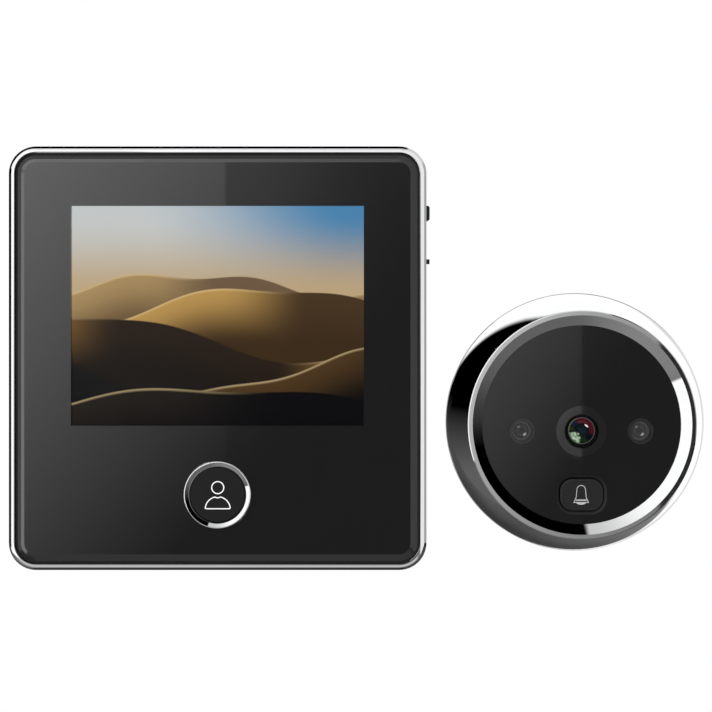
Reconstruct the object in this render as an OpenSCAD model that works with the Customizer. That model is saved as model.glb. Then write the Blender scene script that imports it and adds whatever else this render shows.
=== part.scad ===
// Peephole door camera: a screen unit that hangs on a steel door bracket,
// and a round camera unit with a bell button, side by side on one door face.
// Each piece is drawn lying on the door: x across, y up, z out of the door.
// on_door() then stands the drawing up, so that z is up and the front faces -y.

/* [Screen unit] */
// Width of the picture
screen_w = 61; // [50:0.5:80]
// Height of the picture
screen_h = 45.75; // [38:0.25:60]
// Panel width left and right of the picture
side_margin = 13.18; // [12:0.01:20]
// Panel height above the picture
top_margin = 12.55; // [11.5:0.05:20]
// Radius of the unit's corners, seen from the front
mon_corner_r = 5.7; // [5.2:0.1:9]
// Wall of the moulded covers
wall = 1.8; // [1.4:0.1:2.2]
// Gap between the door and the rear rim
rear_gap = 0.4; // [0.2:0.1:0.8]
// Rounding of the rear edge
back_r = 3; // [1.5:0.1:4]

/* [Front frame and panel] */
// Width of the bright band round the panel
band_w = 1.3; // [0.9:0.05:1.6]
// Radius of the band's rounded crown
crown_r = 1.55; // [1.4:0.05:3]
// Width of the steep facet at the band's outer edge
facet_w = 0.5; // [0.3:0.05:0.7]
// Height of that facet
facet_h = 0.6; // [0.4:0.05:0.7]
// How far the band lies below the panel's face
band_drop = 0.15; // [0:0.05:0.4]
// Width of the shelf under the panel's edge
shelf_w = 2.2; // [1.5:0.1:3]
// Thickness of that shelf
shelf_t = 1.2; // [0.8:0.1:2]
// Thickness of the front panel
panel_t = 1.5; // [1.2:0.1:2.5]
// Width of the steep chamfer round the panel
chamfer_w = 0.65; // [0.3:0.05:0.9]
// Height of that chamfer
chamfer_h = 0.55; // [0.3:0.05:0.6]
// Width of the panel's gentle inner bevel
inner_bevel_w = 0.7; // [0.4:0.05:0.8]
// Height of that bevel
inner_bevel_h = 0.12; // [0.05:0.01:0.2]
// Width of the panel's steeper outer bevel
outer_bevel_w = 0.7; // [0.4:0.05:0.8]
// Height of that bevel
outer_bevel_h = 0.28; // [0.15:0.01:0.35]
// Height of the parting line above the board
parting_up = 0.4; // [0.2:0.1:1.5]
// Thickness of the cover's tongue inside the frame
tongue_t = 0.9; // [0.6:0.1:1.2]
// Height of that tongue
tongue_h = 1.5; // [1:0.1:2]

/* [Display and boards] */
// Thickness of the display glass
lcd_glass_t = 1; // [0.7:0.1:1.6]
// Border of the display glass beside and above the picture
lcd_border = 3; // [2:0.1:4]
// Border of the display glass below the picture
lcd_foot = 5.1; // [4:0.1:7]
// Floor of the display tray
tray_t = 2; // [1.2:0.1:3]
// Rim of the display tray
tray_rim = 0.6; // [0.4:0.05:1]
// Thickness of the main board
board_t = 1.2; // [0.8:0.1:1.6]
// Room for parts between the board and the display
parts_h = 1.6; // [1.5:0.1:3]
// Distance of the board's posts from the middle, up and down
post_up = 8; // [6:0.5:10]
// Width of the battery
battery_w = 40; // [30:0.5:44]
// Height of the battery
battery_h = 21.5; // [15:0.5:23]
// Thickness of the battery
battery_t = 5; // [4:0.1:8]
// Room between the battery and the board
battery_room = 0.9; // [0.6:0.1:2]
// Radius of the speaker
speaker_r = 9; // [7:0.1:9.6]
// Height of the speaker
speaker_h = 4; // [3:0.1:4.8]
// Radius of the corner screw pillars
pillar_r = 2.4; // [2.1:0.1:2.5]
// Distance of the corner screws from the unit's sides
pillar_inset = 5.6; // [5.2:0.1:6]

/* [View button and side controls] */
// Height of the view button above the lower edge
view_up = 15.8; // [12:0.05:20]
// Radius of the view button's ring
view_ring_r = 7.07; // [6:0.01:9]
// Radius of the view button's cap
view_cap_r = 5.78; // [4.5:0.01:5.9]
// How far the ring stands above the panel
view_ring_up = 0.4; // [0.2:0.05:1]
// Travel of the view and bell buttons
press = 0.5; // [0.3:0.05:0.6]
// Distance of the power knob below the upper edge
power_down = 13.5; // [12:0.05:15]
// Length of the power knob's head
power_len = 3.2; // [2.5:0.1:4]
// Travel of the power knob
power_travel = 2; // [1:0.1:2.5]
// Distance of the reset button below the upper edge
reset_down = 23.8; // [22:0.05:26]
// Radius of the reset button
reset_r = 0.53; // [0.4:0.01:0.8]
// Travel of the reset button
reset_press = 0.4; // [0.2:0.05:0.5]
// How far the side controls stand out
side_proud = 1.05; // [0.7:0.05:1.6]
// Place of the charging socket across the lower edge
usb_x = 22; // [20:0.5:28]
// Distance of the card slot below the upper edge
card_down = 20; // [17:0.5:22]

/* [Door bracket] */
// Width of the bracket
bracket_w = 66; // [62:0.5:70]
// Height of the bracket
bracket_h = 46; // [44:0.5:50]
// Thickness of the bracket's sheet
bracket_t = 1.2; // [0.8:0.1:1.6]
// Clearance between the bracket and the cover
bracket_clear = 0.3; // [0.2:0.05:0.6]
// Width of a hook
hook_w = 5; // [3.5:0.1:6]
// Place of the upper hooks above the middle
hook_up = 12; // [10:0.5:14]
// Place of the lower hooks below the middle
hook_down = 18; // [16:0.5:20]
// Height of a hook's lip
lip_h = 3; // [2:0.1:3.4]
// How far the screen unit lifts to clear the lips
lift = 3.6; // [3.5:0.1:5]
// Distance between the two door screws
door_screw_spacing = 11; // [10.6:0.1:14]
// Radius of the bracket's door screw holes
door_hole_r = 1.7; // [1.6:0.05:1.9]
// Width of the cable window
cable_w = 5; // [4.4:0.1:5.2]
// Height of the cable window in the bracket
cable_h = 16; // [10:0.5:18]
// Width of the cable pocket in the cover
pocket_w = 34; // [24:0.5:38]
// Height of the cable pocket in the cover
pocket_h = 24; // [18:0.5:25]
// Wall of the cable pocket
pocket_wall = 1.2; // [0.8:0.1:1.6]

/* [Camera unit] */
// Gap between the two units, side by side
unit_gap = 4.92; // [2:0.01:40]
// How far the camera unit's centre lies below the screen unit's
camera_drop = 14.1; // [0:0.05:30]
// Radius of the black face
face_r = 21; // [20:0.1:26]
// Width of the bright bevel round the face
rim_bevel_w = 2.1; // [1.5:0.1:3]
// Depth of that bevel
rim_bevel_d = 1.2; // [0.6:0.05:2]
// Width of the flat lip round the bevel
rim_lip_w = 1; // [0.6:0.05:1.6]
// How far the flank spreads from the lip to the base
flank_spread = 3.9; // [2.5:0.1:6]
// Bulge of the flank
flank_bulge = 0.7; // [0.3:0.05:1.2]
// Height of the straight edge at the base
base_edge = 0.6; // [0.3:0.05:1]
// Thickness of the face panel
face_t = 1.6; // [1.2:0.1:2.4]
// Edge of the bevel above the face
face_sunk = 0.25; // [0.1:0.05:0.5]
// Seat of the face panel under the rim
seat_w = 1.3; // [0.8:0.1:1.8]
// Thickness of the camera board
cam_board_t = 1.2; // [0.8:0.1:1.6]
// Radius of the camera board
cam_board_r = 20.2; // [18.5:0.1:20.3]
// Room between the camera board and the face panel
cam_parts_h = 3.65; // [3.5:0.05:6]

/* [Lens, lights and bell] */
// How far the lens and lights lie below the face's centre
lens_drop = 1.4; // [0:0.05:3]
// Radius of the lens window
lens_window_r = 5.38; // [4.9:0.01:6.2]
// Radius of the lens barrel
barrel_r = 3.8; // [3.3:0.05:4.1]
// Radius of the front lens
element_r = 3.17; // [2.6:0.01:3.2]
// Thickness of the lens and light windows
window_t = 1; // [0.6:0.05:1.1]
// Distance of the lights from the lens
ir_x = 12.5; // [10.5:0.1:15]
// Radius of the light windows
ir_window_r = 2.77; // [2.5:0.01:3.2]
// Radius of the light domes
led_r = 2.5; // [1.8:0.05:2.6]
// How far the bell button lies below the face's centre
bell_drop = 14.8; // [14:0.1:15.4]
// Width of the bell button's cap
bell_w = 9.08; // [7:0.02:10]
// Height of the bell button's cap
bell_h = 6.76; // [5.6:0.02:7.2]
// Corner radius of the bell button's cap
bell_corner = 2.6; // [1.5:0.1:2.8]
// Width of the soft seal round the cap
seal_w = 0.7; // [0.4:0.05:0.9]
// How far the cap stands above the face
bell_proud = 0.35; // [0.2:0.05:0.5]

/* [Camera unit's back] */
// Thickness of the foam gasket
gasket_t = 1; // [0.5:0.1:2]
// Thickness of the rear cap
cap_t = 1.8; // [1.6:0.1:2.6]
// Radius of the neck in the door hole
neck_r = 8.3; // [8.25:0.05:12]
// Length of the neck
neck_len = 6; // [4:0.5:15]
// Outer radius of the threaded inserts
insert_r = 2.1; // [1.9:0.05:2.2]
// Bore of the threaded inserts
insert_bore_r = 1.25; // [1:0.05:1.5]
// Height of the cable slot in the neck
slot_h = 12; // [8:0.5:13]
// Height of the camera's cable socket
lead_h = 3.1; // [2.5:0.1:5]

/* [Hidden] */
$fn = 96;
// Gap of a glued or snapped fit
fit = 0.05;
// Gap of a sliding fit
play = 0.15;
// Gap between a button's flange and its stop
rest_gap = 0.1;
// Overlap that lets a cut pass a face
over = 1;

// Screen unit: outline and levels, from the door outwards
recess_z = bracket_t + bracket_clear;
cover_floor = recess_z + wall;
battery_tape = 0.2;
battery_low = cover_floor + battery_tape;
board_back = battery_low + battery_t + battery_room;
board_front = board_back + board_t;
lcd_back = board_front + parts_h;
lcd_gap = 0.1;
lcd_front = lcd_back + tray_t + lcd_glass_t;
panel_back = lcd_front + lcd_gap;
mon_front = panel_back + panel_t;
bezel_back = board_front + parting_up;
band_top = mon_front - band_drop;
view_flange_w = 0.83;
view_flange_r = view_ring_r + view_flange_w;
view_lcd_gap = 0.9;
bottom_margin = view_up + view_flange_r + view_lcd_gap + tray_rim + lcd_foot;
mon_w = screen_w + 2 * side_margin;
mon_h = screen_h + top_margin + bottom_margin;
screen_y = (bottom_margin - top_margin) / 2;
view_y = view_up - mon_h / 2;
edge_w = chamfer_w + outer_bevel_w + inner_bevel_w;

// Screen unit: cover and board
tongue_in = wall + play + tongue_t;
ledge_h = 2;
board_gap = 0.45;
board_margin = tongue_in + board_gap;
board_w = mon_w - 2 * board_margin;
board_h = mon_h - 2 * board_margin;
pillar_x = mon_w / 2 - pillar_inset;
pillar_y = mon_h / 2 - pillar_inset;
pillar_gap = 0.4;
notch_w = 2 * (pillar_r + pillar_gap);
pad_w = 1.2;
pad_r = pillar_r + pad_w;
post_r = 2.4;
post_inset = 5;
post_x = board_w / 2 - post_inset;
pocket_gap = 0.5;
pocket_end = board_back - pocket_gap - pocket_wall;
battery_x = -4;
battery_gap = 0.5;
battery_y = -(pocket_h / 2 + pocket_wall + battery_gap + battery_h / 2);
battery_corner = 2.5;
collar_t = 1;
collar_h = 2;
speaker_gap = 0.25;
speaker_y = mon_h / 2 - wall - speaker_gap - collar_t - play - speaker_r;
basket_h = 2.4;
magnet_r = 5.4;
surround_w = 1;
cone_depth = 1.2;
cone_r = speaker_r - surround_w;
dust_cap_r = 3.2;
grille_r = 0.6;
grille_pitch = 2.4;
grille_rings = 2;
chip_h = 1.1;

// Screws: head radius, head height, shank radius, driver slots
case_head_r = 1.9;
case_head_h = 1.3;
case_shank_r = 1;
case_sunk = 1.5;
case_grip = 2.5;
board_head_r = 1.7;
board_head_h = 1;
board_shank_r = 0.75;
board_hole_play = 0.3;
board_screw_grip = 4;
driver_w = 0.45;
driver_len = 2.2;

// View button, from the panel backwards
cap_play = 0.12;
view_hole_r = view_cap_r + cap_play;
view_rim_w = 0.3;
view_ledge_w = 0.14;
view_ring_flange_t = 0.6;
view_cap_sunk = 0.05;
view_bevel_low = 0.1;
view_button_flange_t = 0.9;
view_button_flange_w = 1.4;
view_button_flange_r = view_cap_r + view_button_flange_w;
view_flange_top = panel_back - view_ring_flange_t - rest_gap;
view_flange_low = view_flange_top - view_button_flange_t;
view_switch_top = view_flange_low - press - play;
cap_chamfer = 0.2;
plunger_r = 1;
plunger_in = 1;
switch_size = 6;

// Side controls, hung under the board
side_switch_h = 3.4;
side_z = board_back - side_switch_h / 2;
switch_face_x = board_w / 2;
switch_in = 4;
power_y = mon_h / 2 - power_down;
power_head_z = 2.2;
power_stem = 1.4;
power_ends = 1.4;
power_body_len = power_len + power_travel + 2 * power_ends;
stem_in = 2;
reset_y = mon_h / 2 - reset_down;
reset_body_len = 4.4;
reset_collar_w = 0.5;
reset_collar_r = reset_r + reset_collar_w;
reset_collar_len = 0.6;
wall_in_x = mon_w / 2 - wall;
control_gap = 0.2;
control_x = wall_in_x - control_gap;
power_head_x = mon_w / 2 + side_proud - control_x;
power_corner = 0.5;

// Sockets
usb_w = 7.6;
usb_h = 2.7;
usb_len = 5.6;
usb_wall = 0.35;
usb_sunk = 0.5;
usb_z = board_back - usb_h / 2;
usb_tongue_w = 5.2;
usb_tongue_h = 0.6;
usb_tongue_len = 3.6;
card_w = 11.4;
card_t = 1.1;
card_wall = 0.4;
card_len = 14;
card_h = card_t + 2 * card_wall;
card_y = mon_h / 2 - card_down;
card_z = board_back - card_h / 2;
plug_w = 9.4;
plug_h = 4.8;
plug_wall = 0.8;
plug_depth = 2.2;
socket_proud = 0.8;
socket_low = pocket_end - socket_proud;

// Bracket hooks
hook_inset = 1.5;
hook_x = bracket_w / 2 - hook_w / 2 - hook_inset;
hook_reach = cover_floor + bracket_clear + bracket_t;
hook_window_h = hook_reach - bracket_t + lip_h;
hook_play = 0.4;
hang_gap = 0.1;
hook_slot_h = bracket_t + hang_gap + lift + hook_play;
recess_play = 0.5;
recess_corner = 4.5;
bracket_corner = 4;

// Camera unit: radii and levels, from the door outwards
lip_in_r = face_r + rim_bevel_w;
lip_r = lip_in_r + rim_lip_w;
base_r = lip_r + flank_spread;
cap_low = gasket_t;
cap_top = cap_low + cap_t;
lead_gap = 0.1;
lead_low = cap_top + lead_gap;
cam_board_back = lead_low + lead_h;
cam_board_front = cam_board_back + cam_board_t;
face_back = cam_board_front + cam_parts_h;
face_front = face_back + face_t;
rim_low = face_front + face_sunk;
cam_front = rim_low + rim_bevel_d;
cam_x = mon_w / 2 + unit_gap + base_r;
cam_y = -camera_drop;
rim_edge_w = 0.2;
rim_edge_h = 0.14;
foot_w = 0.12;
flank_low_r = base_r - foot_w;
base_gap = 0.1;
base_low = gasket_t + base_gap;
housing_wall = 1.8;
seat_r = face_r + seat_w;
cap_r = base_r - housing_wall - fit;
seat_room = 0.6;
seat_back = face_back - seat_room;
cap_ledge_w = 1;
cap_ledge_h = 2;
cavity_r = base_r - housing_wall - cap_ledge_w;
boss_r = 2.1;
boss_inset = 2.4;
boss_at = cavity_r - boss_inset;
boss_up = 1.5;
boss_top = cam_board_front + boss_up;
boss_angles = [30, 150, 270];
rear_screw_grip = 4;

// Lens, lights and bell, from the face backwards
window_back = face_front - window_t;
lens_hole_w = 0.6;
lens_hole_r = barrel_r + lens_hole_w;
light_ledge_w = 0.55;
light_hole_r = ir_window_r - light_ledge_w;
barrel_gap = 0.25;
barrel_front = window_back - barrel_gap;
barrel_up = 1.2;
barrel_low = cam_board_front + barrel_up;
element_in = 1.55;
element_low = barrel_front - element_in;
element_edge = 0.5;
element_dome = 0.85;
element_ledge_w = 1.1;
barrel_throat_r = element_r - element_ledge_w;
holder_edge_w = 1.7;
holder_w = 2 * (barrel_r + holder_edge_w);
holder_base = 1.6;
holder_gap = 0.95;
holder_top = face_back - holder_gap;
tower_wall = 1.1;
tower_r = barrel_r + tower_wall;
sensor_w = 6;
sensor_t = 0.9;
sensor_room = 1.1;
led_gap = 0.15;
led_top = face_back - led_gap;
led_foot = 0.6;
led_foot_w = 0.3;
seal_flange_t = 0.6;
seal_flange_w = 1;
seal_fall = 0.3;
bell_flange_t = 0.8;
bell_flange_w = 0.8;
bell_flange_top = face_back - seal_flange_t - rest_gap;
bell_flange_low = bell_flange_top - bell_flange_t;
bell_switch_top = bell_flange_low - press - play;
bell_switch_size = 4.6;
bell_plunger_in = 0.8;
bell_edge_r = 0.3;
bell_rim_w = 2 * bell_edge_r;
bell_top = face_front + bell_proud;
bell_open_w = bell_w + 2 * play;
bell_open_h = bell_h + 2 * play;
seal_out_w = bell_open_w + 2 * seal_w;
seal_out_h = bell_open_h + 2 * seal_w;
seal_corner = bell_corner + play + seal_w;

// Camera unit's back
neck_collar_w = 1.2;
neck_collar_r = neck_r + neck_collar_w;
gasket_inset = 0.4;
gasket_r = cap_r - gasket_inset;
insert_len = neck_len;
board_post_inset = 4.2;
board_post_at = cam_board_r - board_post_inset;
board_post_r = 1.8;
board_pin_r = 0.9;
board_pin_up = 0.7;
post_angles = [90, 210, 330];
lead_side = 0.7;
lead_w = cable_w + 2 * lead_side;
lead_end = 0.3;
lead_len = slot_h - 2 * lead_end;
lead_wall = 0.7;
lead_depth = 2.2;

// Frames of reference

module on_door() {
    rotate([90, 0, 0]) children();
}

module on_camera() {
    on_door() translate([cam_x, cam_y, 0]) children();
}

// Shapes that repeat

module rounded_rect(w, h, r) {
    square([w - 2 * r, h], center = true);
    square([w, h - 2 * r], center = true);
    for (sx = [-1, 1], sy = [-1, 1])
        translate([sx * (w / 2 - r), sy * (h / 2 - r)]) circle(r);
}

module slab(w, h, r, z0, z1) {
    translate([0, 0, z0]) linear_extrude(z1 - z0) rounded_rect(w, h, r);
}

module block(w, h, z0, z1) {
    translate([-w / 2, -h / 2, z0]) cube([w, h, z1 - z0]);
}

module disc(r, z0, z1) {
    translate([0, 0, z0]) cylinder(r = r, h = z1 - z0);
}

module ring(r_out, r_in, z0, z1) {
    difference() {
        disc(r_out, z0, z1);
        disc(r_in, z0 - over, z1 + over);
    }
}

// A profile in the u-z plane, swept round a rounded rectangle: u is 0 on its outline and falls inwards
module edge_sweep(w, h, r) {
    for (mx = [0, 1], my = [0, 1])
        mirror([mx, 0, 0]) mirror([0, my, 0]) translate([w / 2 - r, h / 2 - r, 0])
            rotate_extrude(angle = 90) translate([r, 0]) children();
    for (turn = [0, 180]) rotate([0, 0, turn]) {
        translate([w / 2, h / 2 - r, 0]) rotate([90, 0, 0]) linear_extrude(h - 2 * r) children();
        translate([r - w / 2, h / 2, 0]) rotate([90, 0, 90]) linear_extrude(w - 2 * r) children();
    }
}

// What is cut away to round an outer corner at the origin, whose round lies below it and to its left
module corner_cut(r) {
    difference() {
        translate([-r, -r]) square(r + over);
        translate([-r, -r]) circle(r);
    }
}

module at_four(x, y) {
    for (sx = [-1, 1], sy = [-1, 1]) translate([sx * x, sy * y, 0]) children();
}

module round_about(radius, angles) {
    for (a = angles) translate([radius * cos(a), radius * sin(a), 0]) children();
}

// A pan-head screw that points along +z, with its head's underside at z = 0
module screw(head_r, head_h, shank_r, length) {
    difference() {
        union() {
            disc(head_r, -head_h, 0);
            disc(shank_r, -head_h / 2, length);
        }
        for (turn = [0, 90]) rotate([0, 0, turn]) block(driver_len, driver_w, -head_h - over, -head_h / 2);
    }
}

// Door bracket: sheet with a cable window, two screw holes and four lanced hooks

module hook_profile() {
    difference() {
        union() {
            square([hook_reach, bracket_t]);
            translate([hook_reach - bracket_t, 0]) square([bracket_t, bracket_t + lip_h]);
        }
        translate([hook_reach, 0]) mirror([0, 1]) corner_cut(bracket_t);
    }
}

module hooks_at() {
    for (sx = [-1, 1], y = [hook_up, -hook_down]) translate([sx * hook_x, y, 0]) children();
}

module mounting_bracket() {
    color("silver") on_door() {
        difference() {
            slab(bracket_w, bracket_h, bracket_corner, 0, bracket_t);
            slab(cable_w, cable_h, cable_w / 2 - fit, -over, bracket_t + over);
            for (sx = [-1, 1])
                translate([sx * door_screw_spacing / 2, 0, 0]) disc(door_hole_r, -over, bracket_t + over);
            hooks_at() translate([0, bracket_t + hook_window_h / 2, 0])
                block(hook_w + 2 * hook_play, hook_window_h, -over, bracket_t + over);
        }
        hooks_at() translate([hook_w / 2, 0, 0]) rotate([0, -90, 0]) linear_extrude(hook_w) hook_profile();
    }
}

// Screen unit's rear cover: rounded tub with bracket recess, cable pocket, hook slots, bosses and grille

module cover_profile() {
    difference() {
        union() {
            translate([-wall, rear_gap]) square([wall, bezel_back - rear_gap]);
            translate([-back_r - over, rear_gap]) square([back_r + over, cover_floor - rear_gap]);
            translate([-tongue_in, bezel_back - ledge_h]) square([tongue_in, ledge_h]);
            translate([-tongue_in, bezel_back - ledge_h]) square([tongue_t, ledge_h + tongue_h]);
        }
        translate([0, rear_gap]) mirror([0, 1]) corner_cut(back_r);
    }
}

module grille_holes() {
    disc(grille_r, 0, cover_floor + over);
    for (k = [1 : grille_rings], i = [0 : 6 * k - 1])
        rotate([0, 0, i * 60 / k]) translate([k * grille_pitch, 0, 0]) disc(grille_r, 0, cover_floor + over);
}

module rear_cover() {
    color([0.10, 0.10, 0.11]) on_door() difference() {
        union() {
            edge_sweep(mon_w, mon_h, mon_corner_r) cover_profile();
            slab(mon_w - 2 * back_r, mon_h - 2 * back_r, mon_corner_r - back_r, rear_gap, cover_floor);
            block(pocket_w + 2 * pocket_wall, pocket_h + 2 * pocket_wall, recess_z, pocket_end + pocket_wall);
            at_four(pillar_x, pillar_y) disc(pillar_r, recess_z, bezel_back - fit);
            at_four(post_x, post_up) disc(post_r, recess_z, board_back - fit);
            translate([0, speaker_y, 0])
                ring(speaker_r + play + collar_t, speaker_r + play, recess_z, cover_floor + collar_h);
        }
        translate([0, -lift / 2, 0])
            slab(bracket_w + 2 * recess_play, bracket_h + lift + 2 * recess_play, recess_corner,
                 rear_gap - over, recess_z);
        block(pocket_w, pocket_h, rear_gap - over, pocket_end);
        block(plug_w + 2 * plug_wall + 2 * play, plug_h + 2 * plug_wall + 2 * play, pocket_end - over,
              board_back + over);
        hooks_at() translate([0, bracket_t + hang_gap - hook_slot_h / 2, 0])
            block(hook_w + 2 * hook_play, hook_slot_h, recess_z - over, cover_floor + over);
        at_four(pillar_x, pillar_y) {
            disc(case_head_r + play, rear_gap - over, rear_gap + case_sunk);
            disc(case_shank_r + play, rear_gap, bezel_back + over);
        }
        at_four(post_x, post_up)
            disc(board_shank_r + fit, board_back - board_screw_grip - play, board_back + over);
        translate([0, speaker_y, 0]) grille_holes();
        power_slot();
        reset_hole();
        usb_opening();
        card_opening();
    }
}

module power_slot() {
    slot_len = power_len + power_travel + 2 * play;
    translate([wall_in_x - over, power_y - slot_len + power_len / 2 + play, side_z - power_head_z / 2 - play])
        cube([wall + 2 * over, slot_len, power_head_z + 2 * play]);
}

module reset_hole() {
    translate([wall_in_x - over, reset_y, side_z]) rotate([0, 90, 0])
        cylinder(r = reset_r + play, h = wall + 2 * over);
}

module usb_opening() {
    translate([usb_x, -mon_h / 2 + tongue_in / 2, 0])
        block(usb_w + 2 * play, tongue_in + 2 * over, usb_z - usb_h / 2 - play, usb_z + usb_h / 2 + play);
}

module card_opening() {
    translate([-mon_w / 2 + tongue_in / 2, card_y, 0])
        block(tongue_in + 2 * over, card_w + 2 * play, card_z - card_t / 2 - play,
              card_z + card_t / 2 + play);
}

// Screen unit's front: chrome frame, bevelled panel and clear window

module bezel_profile() {
    crown_w = band_w - facet_w;
    crown_low = band_top - crown_r + sqrt(crown_r * crown_r - crown_w * crown_w);
    translate([-wall, bezel_back]) square([wall, panel_back - bezel_back]);
    translate([-band_w - shelf_w, panel_back - shelf_t]) square([band_w + shelf_w, shelf_t]);
    polygon([
        [-band_w, panel_back - shelf_t], [0, panel_back - shelf_t], [0, crown_low - facet_h],
        [-facet_w, crown_low], [-band_w, crown_low]
    ]);
    intersection() {
        translate([-band_w, band_top - crown_r]) circle(crown_r);
        translate([-band_w, panel_back]) square([crown_w, panel_t]);
    }
}

module bezel() {
    color([0.80, 0.81, 0.83]) on_door() difference() {
        union() {
            edge_sweep(mon_w, mon_h, mon_corner_r) bezel_profile();
            at_four(pillar_x, pillar_y) {
                disc(pillar_r, bezel_back, panel_back);
                disc(pad_r, panel_back - shelf_t, panel_back);
            }
        }
        at_four(pillar_x, pillar_y)
            disc(case_shank_r + fit, bezel_back - over, bezel_back + case_grip + play);
    }
}

module panel_profile() {
    bevel_low = mon_front - inner_bevel_h - outer_bevel_h;
    polygon([
        [-edge_w, panel_back], [0, panel_back], [0, bevel_low - chamfer_h], [-chamfer_w, bevel_low],
        [-chamfer_w - outer_bevel_w, mon_front - inner_bevel_h], [-edge_w, mon_front]
    ]);
}

module front_panel() {
    panel_w = mon_w - 2 * (band_w + fit);
    panel_h = mon_h - 2 * (band_w + fit);
    panel_r = mon_corner_r - band_w - fit;
    color([0.03, 0.03, 0.03]) on_door() difference() {
        union() {
            edge_sweep(panel_w, panel_h, panel_r) panel_profile();
            slab(panel_w - 2 * edge_w, panel_h - 2 * edge_w, panel_r - edge_w, panel_back, mon_front);
        }
        translate([0, screen_y, 0])
            block(screen_w + 2 * fit, screen_h + 2 * fit, panel_back - over, mon_front + over);
        translate([0, view_y, 0]) disc(view_ring_r + fit, panel_back - over, mon_front + over);
    }
}

module screen_window() {
    color([0.25, 0.35, 0.5]) on_door() translate([0, screen_y, 0])
        block(screen_w, screen_h, panel_back, mon_front);
}

// Display: glass in a shallow tray, both a little larger than the picture

module display_block(grow, z0, z1) {
    w = screen_w + 2 * (lcd_border + grow);
    h = screen_h + lcd_border + lcd_foot + 2 * grow;
    translate([0, screen_y + (lcd_border - lcd_foot) / 2, 0]) block(w, h, z0, z1);
}

module lcd_glass() {
    color([0.15, 0.2, 0.3]) on_door() display_block(-fit, lcd_back + tray_t, lcd_front);
}

module lcd_tray() {
    color("gainsboro") on_door() difference() {
        display_block(tray_rim, lcd_back, lcd_front - lcd_glass_t / 2);
        display_block(0, lcd_back + tray_t, lcd_front + over);
    }
}

// Main board and what it carries

module main_board() {
    color("darkgreen") on_door() difference() {
        block(board_w, board_h, board_back, board_front);
        at_four(pillar_x, pillar_y)
            block(notch_w, notch_w, board_back - over, board_front + over);
        at_four(board_w / 2, board_h / 2)
            block(2 * (pillar_inset - board_margin), 2 * (pillar_inset - board_margin), board_back - over,
                  board_front + over);
        at_four(post_x, post_up) disc(board_shank_r + board_hole_play, board_back - over, board_front + over);
    }
}

// Chips on the board: place x, place y, width, height
chips = [[-6, 4, 11, 11], [9, 6, 8, 10], [-20, -12, 6, 6], [16, -14, 5, 5]];

module board_chips() {
    color([0.08, 0.08, 0.08]) on_door()
        for (c = chips) translate([c[0], c[1], 0]) block(c[2], c[3], board_front, board_front + chip_h);
}

module battery() {
    color("lightslategray") on_door() translate([battery_x, battery_y, 0])
        slab(battery_w, battery_h, battery_corner, battery_low, battery_low + battery_t);
}

module speaker() {
    color("dimgray") on_door() translate([0, speaker_y, cover_floor + fit]) rotate_extrude()
        polygon([
            [0, cone_depth], [dust_cap_r, cone_depth], [cone_r, 0], [speaker_r, 0], [speaker_r, basket_h],
            [magnet_r, basket_h], [magnet_r, speaker_h], [0, speaker_h]
        ]);
}

// View button: chrome ring in the panel, cap inside it, plunger and switch behind

module view_ring_profile() {
    ring_top = mon_front + view_ring_up;
    ring_low = mon_front - view_bevel_low;
    difference() {
        polygon([
            [view_hole_r, panel_back - view_ring_flange_t], [view_flange_r, panel_back - view_ring_flange_t],
            [view_flange_r, panel_back], [view_ring_r, panel_back], [view_ring_r, ring_top],
            [view_ring_r - view_rim_w, ring_top], [view_hole_r + view_ledge_w, ring_low],
            [view_hole_r, ring_low]
        ]);
        translate([view_ring_r, ring_top]) corner_cut(view_rim_w);
    }
}

module view_ring() {
    color([0.85, 0.85, 0.87]) on_door() translate([0, view_y, 0]) rotate_extrude()
        view_ring_profile();
}

module view_button() {
    cap_top_z = mon_front - view_cap_sunk;
    color([0.12, 0.12, 0.12]) on_door() translate([0, view_y, 0]) rotate_extrude()
        polygon([
            [0, view_flange_low], [view_button_flange_r, view_flange_low],
            [view_button_flange_r, view_flange_top], [view_cap_r, view_flange_top],
            [view_cap_r, cap_top_z - cap_chamfer],
            [view_cap_r - cap_chamfer, cap_top_z], [0, cap_top_z]
        ]);
}

module view_plunger() {
    color("white") on_door() translate([0, view_y, 0])
        disc(plunger_r, view_switch_top - plunger_in, view_flange_low);
}

module view_switch() {
    color("dimgray") on_door() translate([0, view_y, 0]) difference() {
        block(switch_size, switch_size, board_front, view_switch_top);
        disc(plunger_r + play, view_switch_top - plunger_in - press - play, view_switch_top + over);
    }
}

// Side controls: slide switch with its knob, and reset switch with its pin

module power_switch() {
    slot_len = power_stem + power_travel + 2 * play;
    body_y = power_y - power_travel / 2;
    color("lightgray") on_door() difference() {
        translate([switch_face_x - switch_in / 2, body_y, 0])
            block(switch_in, power_body_len, board_back - side_switch_h, board_back);
        translate([switch_face_x - stem_in - play, body_y - slot_len / 2, side_z - power_stem / 2 - play])
            cube([stem_in + play + over, slot_len, power_stem + 2 * play]);
    }
}

module power_knob() {
    color([0.05, 0.05, 0.05]) on_door() translate([0, power_y, 0]) {
        translate([control_x + power_head_x / 2, 0, 0])
            slab(power_head_x, power_len, power_corner, side_z - power_head_z / 2, side_z + power_head_z / 2);
        translate([switch_face_x - stem_in, -power_stem / 2, side_z - power_stem / 2])
            cube([control_x - switch_face_x + stem_in + power_corner, power_stem, power_stem]);
    }
}

module reset_switch() {
    color("lightgray") on_door() difference() {
        translate([switch_face_x - switch_in / 2, reset_y, 0])
            block(switch_in, reset_body_len, board_back - side_switch_h, board_back);
        translate([switch_face_x - stem_in - reset_press - play, reset_y, side_z]) rotate([0, 90, 0])
            cylinder(r = reset_r + play, h = stem_in + reset_press + play + over);
    }
}

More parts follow.
